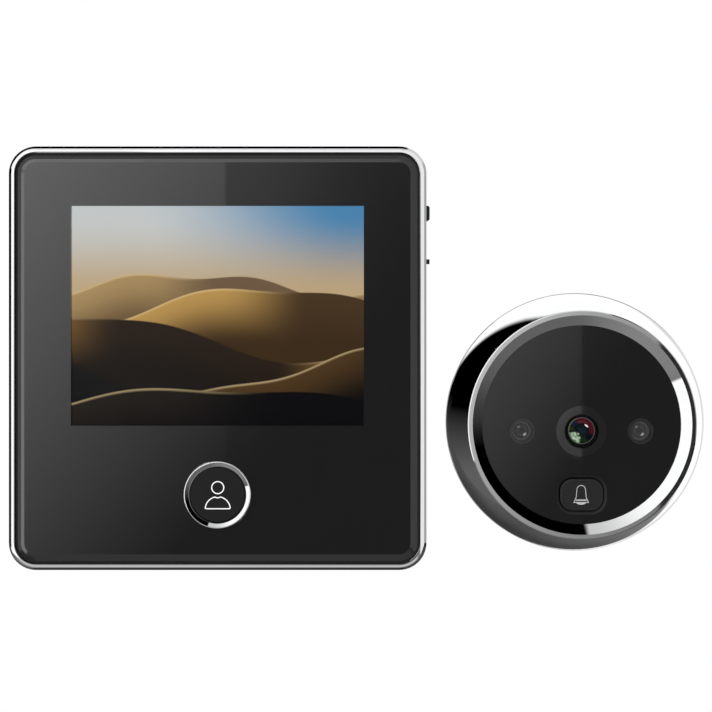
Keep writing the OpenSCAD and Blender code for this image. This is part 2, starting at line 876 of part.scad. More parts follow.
module reset_button() {
    color([0.05, 0.05, 0.05]) on_door() translate([0, reset_y, side_z]) rotate([0, 90, 0]) {
        disc(reset_r, switch_face_x - stem_in, mon_w / 2 + side_proud);
        disc(reset_collar_r, control_x - reset_collar_len, control_x);
    }
}

// Sockets: charging socket, card slot and the socket for the camera's cable

module usb_shell() {
    back_y = -mon_h / 2 + usb_sunk + usb_len;
    color("silver") on_door() translate([usb_x, back_y - usb_len / 2, 0]) difference() {
        block(usb_w, usb_len, usb_z - usb_h / 2, usb_z + usb_h / 2);
        translate([0, -usb_wall - over / 2, 0])
            block(usb_w - 2 * usb_wall, usb_len + over, usb_z - usb_h / 2 + usb_wall,
                  usb_z + usb_h / 2 - usb_wall);
    }
}

module usb_tongue() {
    back_y = -mon_h / 2 + usb_sunk + usb_len - usb_wall;
    color([0.1, 0.1, 0.1]) on_door() translate([usb_x, back_y - usb_tongue_len / 2, 0])
        block(usb_tongue_w, usb_tongue_len, usb_z - usb_tongue_h / 2, usb_z + usb_tongue_h / 2);
}

module card_socket() {
    color("silver") on_door() translate([-board_w / 2 + card_len / 2, card_y, 0]) difference() {
        block(card_len, card_w + 2 * play + 2 * card_wall, card_z - card_h / 2, card_z + card_h / 2);
        translate([-card_wall - over / 2, 0, 0])
            block(card_len + over, card_w + 2 * play, card_z - card_t / 2, card_z + card_t / 2);
    }
}

module camera_socket() {
    color("ivory") on_door() difference() {
        block(plug_w + 2 * plug_wall, plug_h + 2 * plug_wall, socket_low, board_back);
        block(plug_w, plug_h, socket_low - over, socket_low + plug_depth);
    }
}

module case_screws() {
    color("gray") on_door() at_four(pillar_x, pillar_y) translate([0, 0, rear_gap + case_sunk])
        screw(case_head_r, case_head_h, case_shank_r, bezel_back + case_grip - rear_gap - case_sunk);
}

module board_screws() {
    color("gray") on_door() at_four(post_x, post_up) translate([0, 0, board_front]) mirror([0, 0, 1])
        screw(board_head_r, board_head_h, board_shank_r, board_t + board_screw_grip);
}

// Camera unit's chrome housing: one revolved wall with a bulged flank, a lip and an inner bevel

module flank_segment() {
    low = [flank_low_r, base_low + base_edge];
    high = [lip_r, cam_front - rim_edge_h];
    chord = norm(high - low);
    flank_r = chord * chord / (8 * flank_bulge) + flank_bulge / 2;
    normal = [high[1] - low[1], low[0] - high[0]] / chord;
    centre = (low + high) / 2 - normal * (flank_r - flank_bulge);
    intersection() {
        translate(centre) circle(flank_r, $fn = 360);
        polygon([low, low + [flank_spread, 0], high + [flank_spread, 0], high]);
    }
}

module housing_profile() {
    polygon([
        [cap_r + fit, base_low], [base_r, base_low], [base_r, base_low + base_edge],
        [flank_low_r, base_low + base_edge], [lip_r, cam_front - rim_edge_h],
        [lip_r - rim_edge_w, cam_front], [lip_in_r, cam_front],
        [face_r, rim_low], [face_r, face_front], [seat_r + fit, face_front], [seat_r + fit, seat_back],
        [cavity_r, cap_top + cap_ledge_h], [cavity_r, cap_top + fit], [cap_r + fit, cap_top + fit]
    ]);
    flank_segment();
}

module camera_housing() {
    color([0.82, 0.83, 0.85]) on_camera() difference() {
        union() {
            rotate_extrude() housing_profile();
            round_about(boss_at, boss_angles) disc(boss_r, cap_top + fit, boss_top);
        }
        round_about(boss_at, boss_angles)
            disc(case_shank_r + fit, cap_top - over, cap_top + rear_screw_grip + play);
    }
}

// Camera unit's face: panel with seats for the lens window, the light windows and the bell button

module lights_at() {
    for (sx = [-1, 1]) translate([sx * ir_x, -lens_drop, 0]) children();
}

module face_panel() {
    color([0.03, 0.03, 0.03]) on_camera() difference() {
        disc(seat_r, face_back, face_front);
        translate([0, -lens_drop, 0]) {
            disc(lens_window_r + fit, window_back, face_front + over);
            disc(lens_hole_r, face_back - over, face_front);
        }
        lights_at() {
            disc(ir_window_r + fit, window_back, face_front + over);
            disc(light_hole_r, face_back - over, face_front);
        }
        translate([0, -bell_drop, 0])
            slab(seal_out_w + 2 * fit, seal_out_h + 2 * fit, seal_corner + fit, face_back - over,
                 face_front + over);
    }
}

module lens_window() {
    color([0.3, 0.3, 0.35]) on_camera() translate([0, -lens_drop, 0])
        disc(lens_window_r, window_back, face_front);
}

module ir_windows() {
    color([0.25, 0.25, 0.25]) on_camera() lights_at() disc(ir_window_r, window_back, face_front);
}

module lens_barrel() {
    color([0.06, 0.06, 0.06]) on_camera() translate([0, -lens_drop, 0]) rotate_extrude()
        polygon([
            [barrel_throat_r, barrel_low], [barrel_r, barrel_low], [barrel_r, barrel_front],
            [element_r + fit, barrel_front], [element_r + fit, element_low], [barrel_throat_r, element_low]
        ]);
}

module lens_element() {
    edge_z = element_low + fit + element_edge;
    dome_r = (element_r * element_r + element_dome * element_dome) / (2 * element_dome);
    color([0.2, 0.1, 0.3]) on_camera() translate([0, -lens_drop, 0]) {
        disc(element_r, element_low + fit, edge_z);
        intersection() {
            translate([0, 0, edge_z + element_dome - dome_r]) sphere(dome_r);
            disc(element_r, edge_z - fit, edge_z + element_dome + over);
        }
    }
}

module lens_holder() {
    color([0.1, 0.1, 0.1]) on_camera() translate([0, -lens_drop, 0]) difference() {
        union() {
            block(holder_w, holder_w, cam_board_front, cam_board_front + holder_base);
            disc(tower_r, cam_board_front, holder_top);
        }
        disc(barrel_r + fit, barrel_low - fit, holder_top + over);
        block(sensor_w + 2 * play, sensor_w + 2 * play, cam_board_front - over,
              cam_board_front + sensor_room);
        disc(barrel_throat_r, cam_board_front, holder_top);
    }
}

module image_sensor() {
    color("darkslategray") on_camera() translate([0, -lens_drop, 0])
        block(sensor_w, sensor_w, cam_board_front, cam_board_front + sensor_t);
}

module camera_board() {
    color("darkgreen") on_camera() difference() {
        disc(cam_board_r, cam_board_back, cam_board_front);
        round_about(board_post_at, post_angles)
            disc(board_pin_r + fit, cam_board_back - over, cam_board_front + over);
    }
}

module ir_leds() {
    dome_z = led_top - led_r;
    color([0.3, 0.25, 0.35]) on_camera() lights_at() {
        disc(led_r + led_foot_w, cam_board_front, cam_board_front + led_foot);
        disc(led_r, cam_board_front, dome_z);
        intersection() {
            translate([0, 0, dome_z]) sphere(led_r);
            disc(led_r + over, dome_z - fit, led_top + over);
        }
    }
}

// Bell button: soft seal in the face, cap inside it, plunger and switch behind

module bell_cap_profile() {
    difference() {
        translate([-bell_rim_w, bell_flange_low]) square([bell_rim_w, bell_top - bell_flange_low]);
        translate([0, bell_top]) corner_cut(bell_edge_r);
    }
}

module bell_button() {
    core_w = bell_w - 2 * bell_rim_w;
    core_h = bell_h - 2 * bell_rim_w;
    color([0.12, 0.12, 0.12]) on_camera() translate([0, -bell_drop, 0]) {
        edge_sweep(bell_w, bell_h, bell_corner) bell_cap_profile();
        slab(core_w, core_h, bell_corner - bell_rim_w, bell_flange_low, bell_top);
        slab(bell_w + 2 * bell_flange_w, bell_h + 2 * bell_flange_w, bell_corner, bell_flange_low,
             bell_flange_top);
    }
}

module bell_plunger() {
    color("white") on_camera() translate([0, -bell_drop, 0])
        disc(plunger_r, bell_switch_top - bell_plunger_in, bell_flange_low);
}

module bell_seal_profile() {
    polygon([
        [-seal_w, face_back - seal_flange_t], [seal_flange_w, face_back - seal_flange_t],
        [seal_flange_w, face_back], [0, face_back], [0, face_front], [-seal_w, face_front - seal_fall]
    ]);
}

module bell_seal() {
    color([0.06, 0.06, 0.06]) on_camera() translate([0, -bell_drop, 0])
        edge_sweep(seal_out_w, seal_out_h, seal_corner) bell_seal_profile();
}

module bell_switch() {
    color("dimgray") on_camera() translate([0, -bell_drop, 0]) difference() {
        block(bell_switch_size, bell_switch_size, cam_board_front, bell_switch_top);
        disc(plunger_r + play, bell_switch_top - bell_plunger_in - press - rest_gap, bell_switch_top + over);
    }
}

// Camera unit's back: cap with the door neck, inserts, screws, gasket and cable socket

module lead_socket() {
    color("ivory") on_camera() difference() {
        block(lead_w + 2 * lead_wall, lead_len + 2 * lead_wall, lead_low, cam_board_back);
        block(lead_w, lead_len, lead_low - over, lead_low + lead_depth);
    }
}

module rear_cap() {
    color([0.09, 0.09, 0.10]) on_camera() difference() {
        union() {
            disc(cap_r, cap_low, cap_top);
            disc(neck_collar_r, 0, cap_top);
            disc(neck_r, -neck_len, cap_top);
            round_about(board_post_at, post_angles) {
                disc(board_post_r, cap_low, cam_board_back - fit);
                disc(board_pin_r, cap_low, cam_board_front + board_pin_up);
            }
        }
        slab(cable_w, slot_h, cable_w / 2 - fit, -neck_len - over, cap_top + over);
        for (sx = [-1, 1]) translate([sx * door_screw_spacing / 2, 0, 0])
            disc(insert_r + fit, -neck_len - over, insert_len - neck_len);
        round_about(boss_at, boss_angles) {
            disc(case_head_r + play, cap_low - over, cap_low + case_head_h + fit);
            disc(case_shank_r + play, cap_low, cap_top + over);
        }
    }
}

module threaded_inserts() {
    color("goldenrod") on_camera()
        for (sx = [-1, 1]) translate([sx * door_screw_spacing / 2, 0, 0])
            ring(insert_r, insert_bore_r, -neck_len, insert_len - neck_len);
}

module rear_cap_screws() {
    head_z = cap_low + case_head_h + fit;
    color("gray") on_camera() round_about(boss_at, boss_angles) translate([0, 0, head_z])
        screw(case_head_r, case_head_h, case_shank_r, cap_top + rear_screw_grip - head_z);
}

module door_gasket() {
    color([0.2, 0.2, 0.2]) on_camera() ring(gasket_r, neck_collar_r + play, 0, gasket_t);
}

mounting_bracket();
rear_cover();
bezel();
front_panel();
screen_window();
lcd_glass();
lcd_tray();
main_board();
board_chips();
battery();
speaker();
view_ring();
view_button();
view_plunger();
view_switch();
power_switch();
power_knob();
reset_switch();
reset_button();
usb_shell();
usb_tongue();
card_socket();
camera_socket();
case_screws();
board_screws();
camera_housing();
face_panel();
lens_window();
lens_barrel();
lens_element();
lens_holder();
image_sensor();
camera_board();
ir_windows();
ir_leds();
bell_button();
bell_plunger();
bell_seal();
bell_switch();
lead_socket();
rear_cap();
rear_cap_screws();
threaded_inserts();
door_gasket();
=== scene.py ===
# Peephole door camera: finishes, icons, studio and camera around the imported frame.
import math

import bpy
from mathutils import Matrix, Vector


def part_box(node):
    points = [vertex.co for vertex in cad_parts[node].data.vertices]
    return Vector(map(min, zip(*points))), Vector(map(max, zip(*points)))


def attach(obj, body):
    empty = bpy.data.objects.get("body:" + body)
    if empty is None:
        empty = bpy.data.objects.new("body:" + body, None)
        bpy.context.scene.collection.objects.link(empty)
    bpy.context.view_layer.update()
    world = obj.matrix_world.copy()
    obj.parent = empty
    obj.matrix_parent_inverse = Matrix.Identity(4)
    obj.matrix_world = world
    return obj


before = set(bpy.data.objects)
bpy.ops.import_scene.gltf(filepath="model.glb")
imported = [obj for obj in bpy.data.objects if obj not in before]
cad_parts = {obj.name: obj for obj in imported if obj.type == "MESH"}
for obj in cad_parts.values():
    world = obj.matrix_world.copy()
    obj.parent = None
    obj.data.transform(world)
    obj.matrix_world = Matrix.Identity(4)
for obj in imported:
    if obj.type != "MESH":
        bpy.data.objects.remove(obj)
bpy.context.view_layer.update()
MM = 0.001
DEGREES = 180 / math.pi
FULL_TURN = 360.0
FACING_FRONT = (math.radians(90), 0, 0)

# Camera: a long lens, square to the door, with its frame shifted onto the set
LENS_MM = 85.0
SENSOR_MM = 36.0
NEAR_CLIP = 10 * MM
CAMERA_PLACE = Vector((25.5, -367.5, 6.4)) * MM
FRAME_CENTRE = Vector((28.93, -16.8, 0.48)) * MM

# Places of the pieces that carry the icons, lens, lights and picture, from the frame
SCREEN_LOW, SCREEN_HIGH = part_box("screen_window")
SCREEN_CENTRE = (SCREEN_LOW + SCREEN_HIGH) / 2
SCREEN_HALF = (SCREEN_HIGH - SCREEN_LOW) / 2
VIEW_LOW, VIEW_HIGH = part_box("view_button")
VIEW_CENTRE = (VIEW_LOW + VIEW_HIGH) / 2
BELL_LOW, BELL_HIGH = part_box("bell_button")
BELL_CENTRE = (BELL_LOW + BELL_HIGH) / 2
PANEL_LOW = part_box("front_panel")[0]
LENS_LOW, LENS_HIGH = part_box("lens_element")
LENS_CENTRE = (LENS_LOW + LENS_HIGH) / 2
LIGHT_LOW, LIGHT_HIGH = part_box("ir_leds")
LIGHT_RADIUS = (LIGHT_HIGH.z - LIGHT_LOW.z) / 2
LIGHT_Z = (LIGHT_LOW.z + LIGHT_HIGH.z) / 2
LIGHT_CENTRES = [
    Vector((LIGHT_LOW.x + LIGHT_RADIUS, 0, LIGHT_Z)),
    Vector((LIGHT_HIGH.x - LIGHT_RADIUS, 0, LIGHT_Z)),
]


# Shader arithmetic

class Wire:
    """One output of a shader node. Arithmetic on it adds Math nodes."""

    def __init__(self, sheet, socket):
        self.sheet = sheet
        self.socket = socket

    def math(self, operation, *others):
        return self.sheet.math(operation, self, *others)

    def at_least(self, floor):
        return self.math("MAXIMUM", floor)

    def __add__(self, other):
        return self.math("ADD", other)

    __radd__ = __add__

    def __sub__(self, other):
        return self.math("SUBTRACT", other)

    def __rsub__(self, other):
        return self.sheet.math("SUBTRACT", other, self)

    def __mul__(self, other):
        return self.math("MULTIPLY", other)

    __rmul__ = __mul__

    def __truediv__(self, other):
        return self.math("DIVIDE", other)

    def __neg__(self):
        return self.math("MULTIPLY", -1.0)


class Sheet:
    """The node tree of one finish, or of the studio."""

    # Sockets of the Mix node that carry colours
    MIX_SHARE = 0
    MIX_FIRST = 6
    MIX_SECOND = 7
    MIX_RESULT = 2

    def __init__(self, tree):
        self.tree = tree
        tree.nodes.clear()

    def node(self, kind, settings=None, values=None, out=0):
        made = self.tree.nodes.new("ShaderNode" + kind)
        for name, value in (settings or {}).items():
            if name == "stops":
                self.set_stops(made.color_ramp, value)
            else:
                setattr(made, name, value)
        for key, value in (values or {}).items():
            if isinstance(value, Wire):
                self.tree.links.new(value.socket, made.inputs[key])
            else:
                made.inputs[key].default_value = value
        return Wire(self, made.outputs[out]) if made.outputs else None

    @staticmethod
    def set_stops(ramp, stops):
        while len(ramp.elements) < len(stops):
            ramp.elements.new(1.0)
        for element, (place, colour) in zip(ramp.elements, stops):
            element.position = place
            element.color = colour

    def ramp(self, value, low, high, stops):
        """A curve of brightness through (place, level) stops, with places from low to high."""
        span = high - low
        shades = [((place - low) / span, grey(level)) for place, level in stops]
        return self.node("ValToRGB", {"stops": shades}, {0: (value - low) / span})

    def math(self, operation, *terms):
        return self.node("Math", {"operation": operation}, dict(enumerate(terms)))

    def step(self, value, low, high):
        """0 below low, 1 above high, smooth between; low may lie above high."""
        settings = {"interpolation_type": "SMOOTHSTEP"}
        values = {"Value": value, "From Min": low, "From Max": high, "To Min": 0.0, "To Max": 1.0}
        return self.node("MapRange", settings, values)

    def band(self, value, low, high, soft):
        """1 between low and high, with soft edges."""
        return self.step(value, low - soft, low + soft) * self.step(value, high + soft, high - soft)

    def mix(self, share, first, second):
        values = {self.MIX_SHARE: share, self.MIX_FIRST: first, self.MIX_SECOND: second}
        return self.node("Mix", {"data_type": "RGBA"}, values, out=self.MIX_RESULT)

    def noise(self, place, scale, detail=2.0, rough=0.5):
        values = {"Vector": place, "Scale": scale, "Detail": detail, "Roughness": rough}
        return self.node("TexNoise", None, values)

    def place(self, centre=(0, 0, 0)):
        """Object coordinates in millimetres, counted from a centre in metres."""
        coordinates = self.node("TexCoord", out="Object")
        shift = self.node("VectorMath", {"operation": "SUBTRACT"}, {0: coordinates, 1: centre})
        return self.node("VectorMath", {"operation": "SCALE"}, {0: shift, "Scale": 1.0 / MM})

    def split(self, vector):
        parts = self.node("SeparateXYZ", None, {0: vector})
        return [Wire(self, socket) for socket in parts.socket.node.outputs]

    def bump(self, height, depth_mm):
        values = {"Height": height, "Distance": depth_mm * MM, "Strength": 1.0}
        return self.node("Bump", None, values)


def grey(level):
    return (level, level, level, 1.0)


def length(first, second):
    return (first * first + second * second).math("SQRT")


def finish_named(name, build):
    """A new material whose Principled shader takes what build(sheet) returns."""
    material = bpy.data.materials.new(name)
    material.use_nodes = True
    sheet = Sheet(material.node_tree)
    shader = sheet.node("BsdfPrincipled", None, build(sheet))
    sheet.node("OutputMaterial", None, {"Surface": shader})
    return material


def dress(material, *nodes):
    for name in nodes:
        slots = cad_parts[name].data.materials
        slots.clear()
        slots.append(material)


def distance(sheet, centre):
    """Distance in millimetres from the level line through a centre, and its parts right and up."""
    x, _, z = sheet.split(sheet.place(centre))
    return length(x, z), x, z


def spot_at(sheet, x, z, middle, radii, tilt):
    """A soft ellipse round a middle, tilted by some degrees."""
    cosine, sine = math.cos(math.radians(tilt)), math.sin(math.radians(tilt))
    right, up = x - middle[0], z - middle[1]
    along = (right * cosine + up * sine) / radii[0]
    athwart = (up * cosine - right * sine) / radii[1]
    return sheet.step(along * along + athwart * athwart, 1.2, 0.4)


# Finishes. An edge is a pair of places, where it starts and where it is full. A band is low, high and blend.

# Level of the noise at which dust shows on the gloss
DUST_EDGE = (0.72, 0.8)
# Depth in millimetres of the front panel's bevels, below which its wall turns paler
PALE_WALL_DEPTHS = (0.38, 0.42)
# Radii in millimetres of the print on the lens window, and of the frost on the light windows
PRINT_EDGE = (3.56, 3.64)
FROST_EDGE = (1.95, 2.15)


def bright_chrome(sheet):
    place = sheet.place()
    haze = sheet.noise(place, 0.35, 3.0)
    polish = sheet.noise(place, 14.0, 2.0)
    return {
        "Base Color": sheet.mix(haze, (0.86, 0.865, 0.875, 1), (0.93, 0.93, 0.935, 1)),
        "Metallic": 1.0,
        "Roughness": 0.02 + 0.03 * haze * polish,
    }


def gloss_black(dark, light):
    def build(sheet):
        place = sheet.place()
        cloud = sheet.noise(place, 0.12, 3.0)
        dust = sheet.step(sheet.noise(place, 9.0, 1.0), *DUST_EDGE)
        return {
            "Base Color": sheet.mix(cloud, grey(dark), grey(light)),
            "Roughness": 0.012 + 0.008 * cloud + 0.03 * dust,
            "IOR": 1.5,
        }
    return build


def panel_black(sheet):
    """Gloss black, paler on the wall below the bevels."""
    black = gloss_black(0.0165, 0.019)(sheet)
    _, depth, _ = sheet.split(sheet.place(PANEL_LOW))
    black["Base Color"] = sheet.mix(sheet.step(depth, *PALE_WALL_DEPTHS), black["Base Color"], grey(0.04))
    return black


def satin_black(dark, light):
    def build(sheet):
        grain = sheet.noise(sheet.place(), 12.0, 3.0)
        return {
            "Base Color": sheet.mix(grain, grey(dark), grey(light)),
            "Roughness": 0.3 + 0.1 * grain,
            "IOR": 1.4,
            "Normal": sheet.bump(grain, 0.003),
        }
    return build


def moulded_black(sheet):
    place = sheet.place()
    spark = sheet.noise(place, 5.0, 4.0, 0.6)
    cloud = sheet.noise(place, 0.1, 2.0)
    return {
        "Base Color": sheet.mix(cloud, grey(0.018), grey(0.026)),
        "Roughness": 0.42 + 0.2 * spark,
        "Normal": sheet.bump(spark, 0.035),
    }


def screen_sheet(sheet):
    """Clear, with a faint soft gloss."""
    smear = sheet.noise(sheet.place(), 0.08, 2.0)
    return {
        "Base Color": grey(0.0),
        "Roughness": 0.1 + 0.05 * smear,
        "IOR": 1.45,
        "Alpha": 0.09 + 0.02 * smear,
    }


def lens_sheet(sheet):
    """Clear in the middle, with a glossy dark print round the barrel."""
    smear = sheet.noise(sheet.place(), 0.2, 2.0)
    radius, _, _ = distance(sheet, LENS_CENTRE)
    return {
        "Base Color": sheet.mix(smear, grey(0.002), grey(0.004)),
        "Roughness": 0.012 + 0.01 * smear,
        "IOR": 2.2,
        "Alpha": 0.02 + 0.98 * sheet.step(radius, *PRINT_EDGE),
    }


def light_window(sheet):
    """Smoked and see-through, with a frosted edge."""
    smear = sheet.noise(sheet.place(), 0.3, 2.0)
    left, right = (distance(sheet, centre)[0] for centre in LIGHT_CENTRES)
    frost = sheet.step(left.math("MINIMUM", right), *FROST_EDGE)
    return {
        "Base Color": sheet.mix(smear, grey(0.032), grey(0.038)),
        "Roughness": 0.03 + 0.03 * smear,
        "IOR": 1.45,
        "Alpha": 0.06 + 0.94 * frost,
    }


# The coated glass's painted reflections, in millimetres and degrees: they stand a little right of the lens's
# middle
COAT_ASIDE = Vector((0.3 * MM, 0, 0))
COAT_MIDDLE = (0.2, 1.5)
LEAF_GREENS = ((0.1, 0.22, 0.09, 1), (0.46, 0.58, 0.44, 1))
LEAF_STREAKS = (0.34, 0.66)
# Zones of painted reflection, painted in turn: red, blush, blue, olive, leaf and moss, each with its radii,
# angles and colour
REFLECTION_ZONES = [
    ((1.62, 2.7, 0.16), (-18, 118, 9), (0.062, 0.006, 0.012, 1)),
    ((1.86, 2.02, 0.08), (62, 112, 12), (0.13, 0.05, 0.06, 1)),
    ((1.85, 2.7, 0.16), (122, 148, 6), (0.003, 0.010, 0.032, 1)),
    ((1.7, 2.7, 0.15), (158, 177, 6), (0.014, 0.022, 0.008, 1)),
    ((1.3, 2.62, 0.14), (-171, -101, 4), LEAF_GREENS),
    ((1.2, 2.6, 0.2), (-95, -62, 8), (0.006, 0.022, 0.008, 1)),
]
COAT_GROOVES = ((1.2, 1.3, 0.08), (1.84, 1.94, 0.07))
# The glass's rim is a painted highlight, greener on the left
COAT_EDGE = (2.71, 2.84, 0.06)
COAT_EDGE_LEFT = (100, 140)
COAT_OUTSIDE = (2.84, 2.9)
COAT_DULL = (2.7, 2.9)
COAT_TILT = -40


def lens_painted_reflections(sheet):
    """Painted reflections of the coated glass, given as glow: red above right, green below left, a dark
    middle, a painted rim highlight and one painted glint.
    """
    radius, x, z = distance(sheet, LENS_CENTRE + COAT_ASIDE)
    angle = z.math("ARCTAN2", x) * DEGREES
    middle = sheet.step(radius, *COAT_MIDDLE)
    colour = sheet.mix(middle, (0.004, 0.014, 0.021, 1), (0.002, 0.003, 0.006, 1))
    streak = sheet.step(sheet.noise(sheet.place(LENS_CENTRE), 2.2, 2.0), *LEAF_STREAKS)
    for radii, angles, shade in REFLECTION_ZONES:
        zone = sheet.band(radius, *radii) * sheet.band(angle, *angles)
        if shade is LEAF_GREENS:
            shade = sheet.mix(streak, *LEAF_GREENS)
        colour = sheet.mix(zone, colour, shade)
    inner, outer = (sheet.band(radius, *groove) for groove in COAT_GROOVES)
    colour = sheet.mix(0.7 * (inner + outer), colour, (0.003, 0.006, 0.006, 1))
    # A painted yellow spot of reflection
    spot = spot_at(sheet, x, z, (-0.8, -0.62), (0.34, 0.2), COAT_TILT)
    colour = sheet.mix(spot, colour, (0.36, 0.33, 0.17, 1))
    left = sheet.step(angle, *COAT_EDGE_LEFT)
    rim_highlight_colour = sheet.mix(left, (0.12, 0.12, 0.115, 1), (0.2, 0.22, 0.08, 1))
    colour = sheet.mix(0.85 * sheet.band(radius, *COAT_EDGE), colour, rim_highlight_colour)
    colour = sheet.mix(sheet.step(radius, *COAT_OUTSIDE), colour, grey(0.003))
    # One painted glint
    painted_glint = spot_at(sheet, x, z, (0.98, 1.08), (0.54, 0.18), COAT_TILT)
    colour = sheet.mix(painted_glint, colour, (0.95, 0.8, 0.84, 1))
    # The lens glows with these painted reflections
    return {
        "Base Color": grey(0.003),
        "Roughness": 0.03 + 0.04 * sheet.step(radius, *COAT_DULL),
        "IOR": 1.08,
        "Emission Color": colour,
        "Emission Strength": 1.0,
    }


# The lights' painted glow, in millimetres: a painted bright rim, rings from outside to inside with their
# brightness, and painted glints
LED_PAINTED_RIM = (1.74, 1.86, 0.07)
LED_RINGS = [((1.64, 1.52), 0.034), ((1.36, 1.16), 0.048), ((0.8, 0.5), 0.036)]
LED_PAINTED_GLINTS = [((0.72, -0.76), (0.46, 0.32), 0.3), ((-0.58, 0.85), (0.34, 0.24), 0.15)]
LED_TILT = 40
LED_DULL = (1.0, 1.5, 0.1)


def led_resin(sheet):
    """Clear domes whose bright cup, rings and two glints each are painted as glow."""
    colour = grey(0.05)
    dull = 0.0
    for centre in LIGHT_CENTRES:
        radius, x, z = distance(sheet, centre)
        colour = sheet.mix(sheet.band(radius, *LED_PAINTED_RIM), colour, grey(0.085))
        for edge, level in LED_RINGS:
            colour = sheet.mix(sheet.step(radius, *edge), colour, grey(level))
        for middle, radii, level in LED_PAINTED_GLINTS:
            colour = sheet.mix(spot_at(sheet, x, z, middle, radii, LED_TILT), colour, grey(level))
        dull = sheet.band(radius, *LED_DULL) + dull
    # Painted glow: the rim, rings and glints stand in for light and reflections
    return {
        "Base Color": grey(0.004),
        "Roughness": 0.3 + 0.1 * dull,
        "IOR": 1.0,
        "Emission Color": colour,
        "Emission Strength": 1.0,
    }


# The picture, in halves of the screen's width and height from its middle
PALE_SKY = (0.60, 0.63, 0.63, 1)
BLUE_SKY = (0.075, 0.25, 0.46, 1)
HORIZON = (0.55, 0.40, 0.22, 1)
CREST_LIGHT = (0.85, 0.66, 0.34, 1)
BLUE_LEAN = 0.5
BLUE_EDGE = (-0.15, 1.35)
HORIZON_EDGE = (0.95, 0.15)
SUNNY_EDGE = (-0.6, 0.7)
FOOT_EDGE = (0.0, 0.5)
CREST_EDGE = (0.03, 0.0)
RIDGE_EDGE = (-0.006, 0.006)
RIPPLE_SWING = 0.04
RIPPLE_WAVES = 2.7
# Dune ridges, from far to near: height, swing, waves across, turn, lit face, shaded face, foot
DUNES = [
    (0.28, 0.10, 2.6, 2.2, (0.42, 0.28, 0.12, 1), (0.17, 0.11, 0.06, 1), (0.13, 0.08, 0.035, 1)),
    (0.08, 0.18, 2.1, 0.9, (0.52, 0.31, 0.09, 1), (0.07, 0.04, 0.018, 1), (0.05, 0.027, 0.011, 1)),
    (-0.20, 0.22, 1.8, 3.4, (0.36, 0.19, 0.05, 1), (0.022, 0.014, 0.009, 1), (0.012, 0.009, 0.007, 1)),
    (-0.52, 0.20, 2.3, 5.2, (0.08, 0.042, 0.015, 1), (0.008, 0.007, 0.007, 1), (0.005, 0.005, 0.005, 1)),
    (-0.80, 0.14, 1.6, 1.6, (0.016, 0.012, 0.009, 1), (0.004, 0.004, 0.005, 1), (0.003, 0.003, 0.004, 1)),
]


def display_picture(sheet):
    x, _, z = sheet.split(sheet.place(SCREEN_CENTRE))
    across = x / (SCREEN_HALF.x / MM)
    up = z / (SCREEN_HALF.z / MM)
    return {
        "Base Color": grey(0.002),
        "Roughness": 0.2 + 0.05 * across,
        "IOR": 1.0,
        "Emission Color": dune_picture(sheet, across, up),
        "Emission Strength": 1.1,
    }


def dune_picture(sheet, across, up):
    """Evening dunes: a blue and pale sky, an amber horizon, and ridges that darken towards the viewer."""
    picture = sheet.mix(sheet.step(across + BLUE_LEAN * up, *BLUE_EDGE), PALE_SKY, BLUE_SKY)
    picture = sheet.mix(sheet.step(up, *HORIZON_EDGE), picture, HORIZON)
    for height, swing, waves, turn, lit, shaded, foot in DUNES:
        phase = across * waves + turn
        ripple = RIPPLE_SWING * (phase * RIPPLE_WAVES).math("SINE")
        depth = height + swing * phase.math("SINE") + ripple - up
        sunny = sheet.step(phase.math("COSINE"), *SUNNY_EDGE)
        face = sheet.mix(sunny, shaded, lit)
        face = sheet.mix(sheet.step(depth, *FOOT_EDGE), face, foot)
        face = sheet.mix(0.5 * sheet.step(depth, *CREST_EDGE) * sunny, face, CREST_LIGHT)
        picture = sheet.mix(sheet.step(depth, *RIDGE_EDGE), picture, face)
    return picture


def plain_metal(light, dark, rough, grain_scale):
    def build(sheet):
        grain = sheet.noise(sheet.place(), grain_scale, 4.0, 0.6)
        return {
            "Base Color": sheet.mix(grain, dark, light),
            "Metallic": 1.0,
            "Roughness": rough + 0.15 * grain,
            "Normal": sheet.bump(grain, 0.004),
        }
    return build


def plain_moulding(light, dark, rough, grain_scale, depth_mm=0.01, index=1.5):
    def build(sheet):
        grain = sheet.noise(sheet.place(), grain_scale, 3.0)
        return {
            "Base Color": sheet.mix(grain, dark, light),
            "Roughness": rough + 0.15 * grain,
            "IOR": index,
            "Normal": sheet.bump(grain, depth_mm),
        }
    return build


def icon_print(white, painted_glow):
    def build(sheet):
        ink = sheet.noise(sheet.place(), 9.0, 2.0)
        colour = sheet.mix(ink, grey(white * 0.94), grey(white))
        # The ink also glows with its own colour: painted light that makes it brighter
        return {
            "Base Color": colour,
            "Roughness": 0.4 + 0.1 * ink,
            "Emission Color": colour,
            "Emission Strength": painted_glow,
        }
    return build


CHROME = finish_named("bright_chrome", bright_chrome)
BLACK_GLOSS = finish_named("gloss_black", gloss_black(0.012, 0.015))
PANEL_BLACK = finish_named("panel_black", panel_black)
BLACK_SATIN = finish_named("satin_black", satin_black(0.014, 0.02))
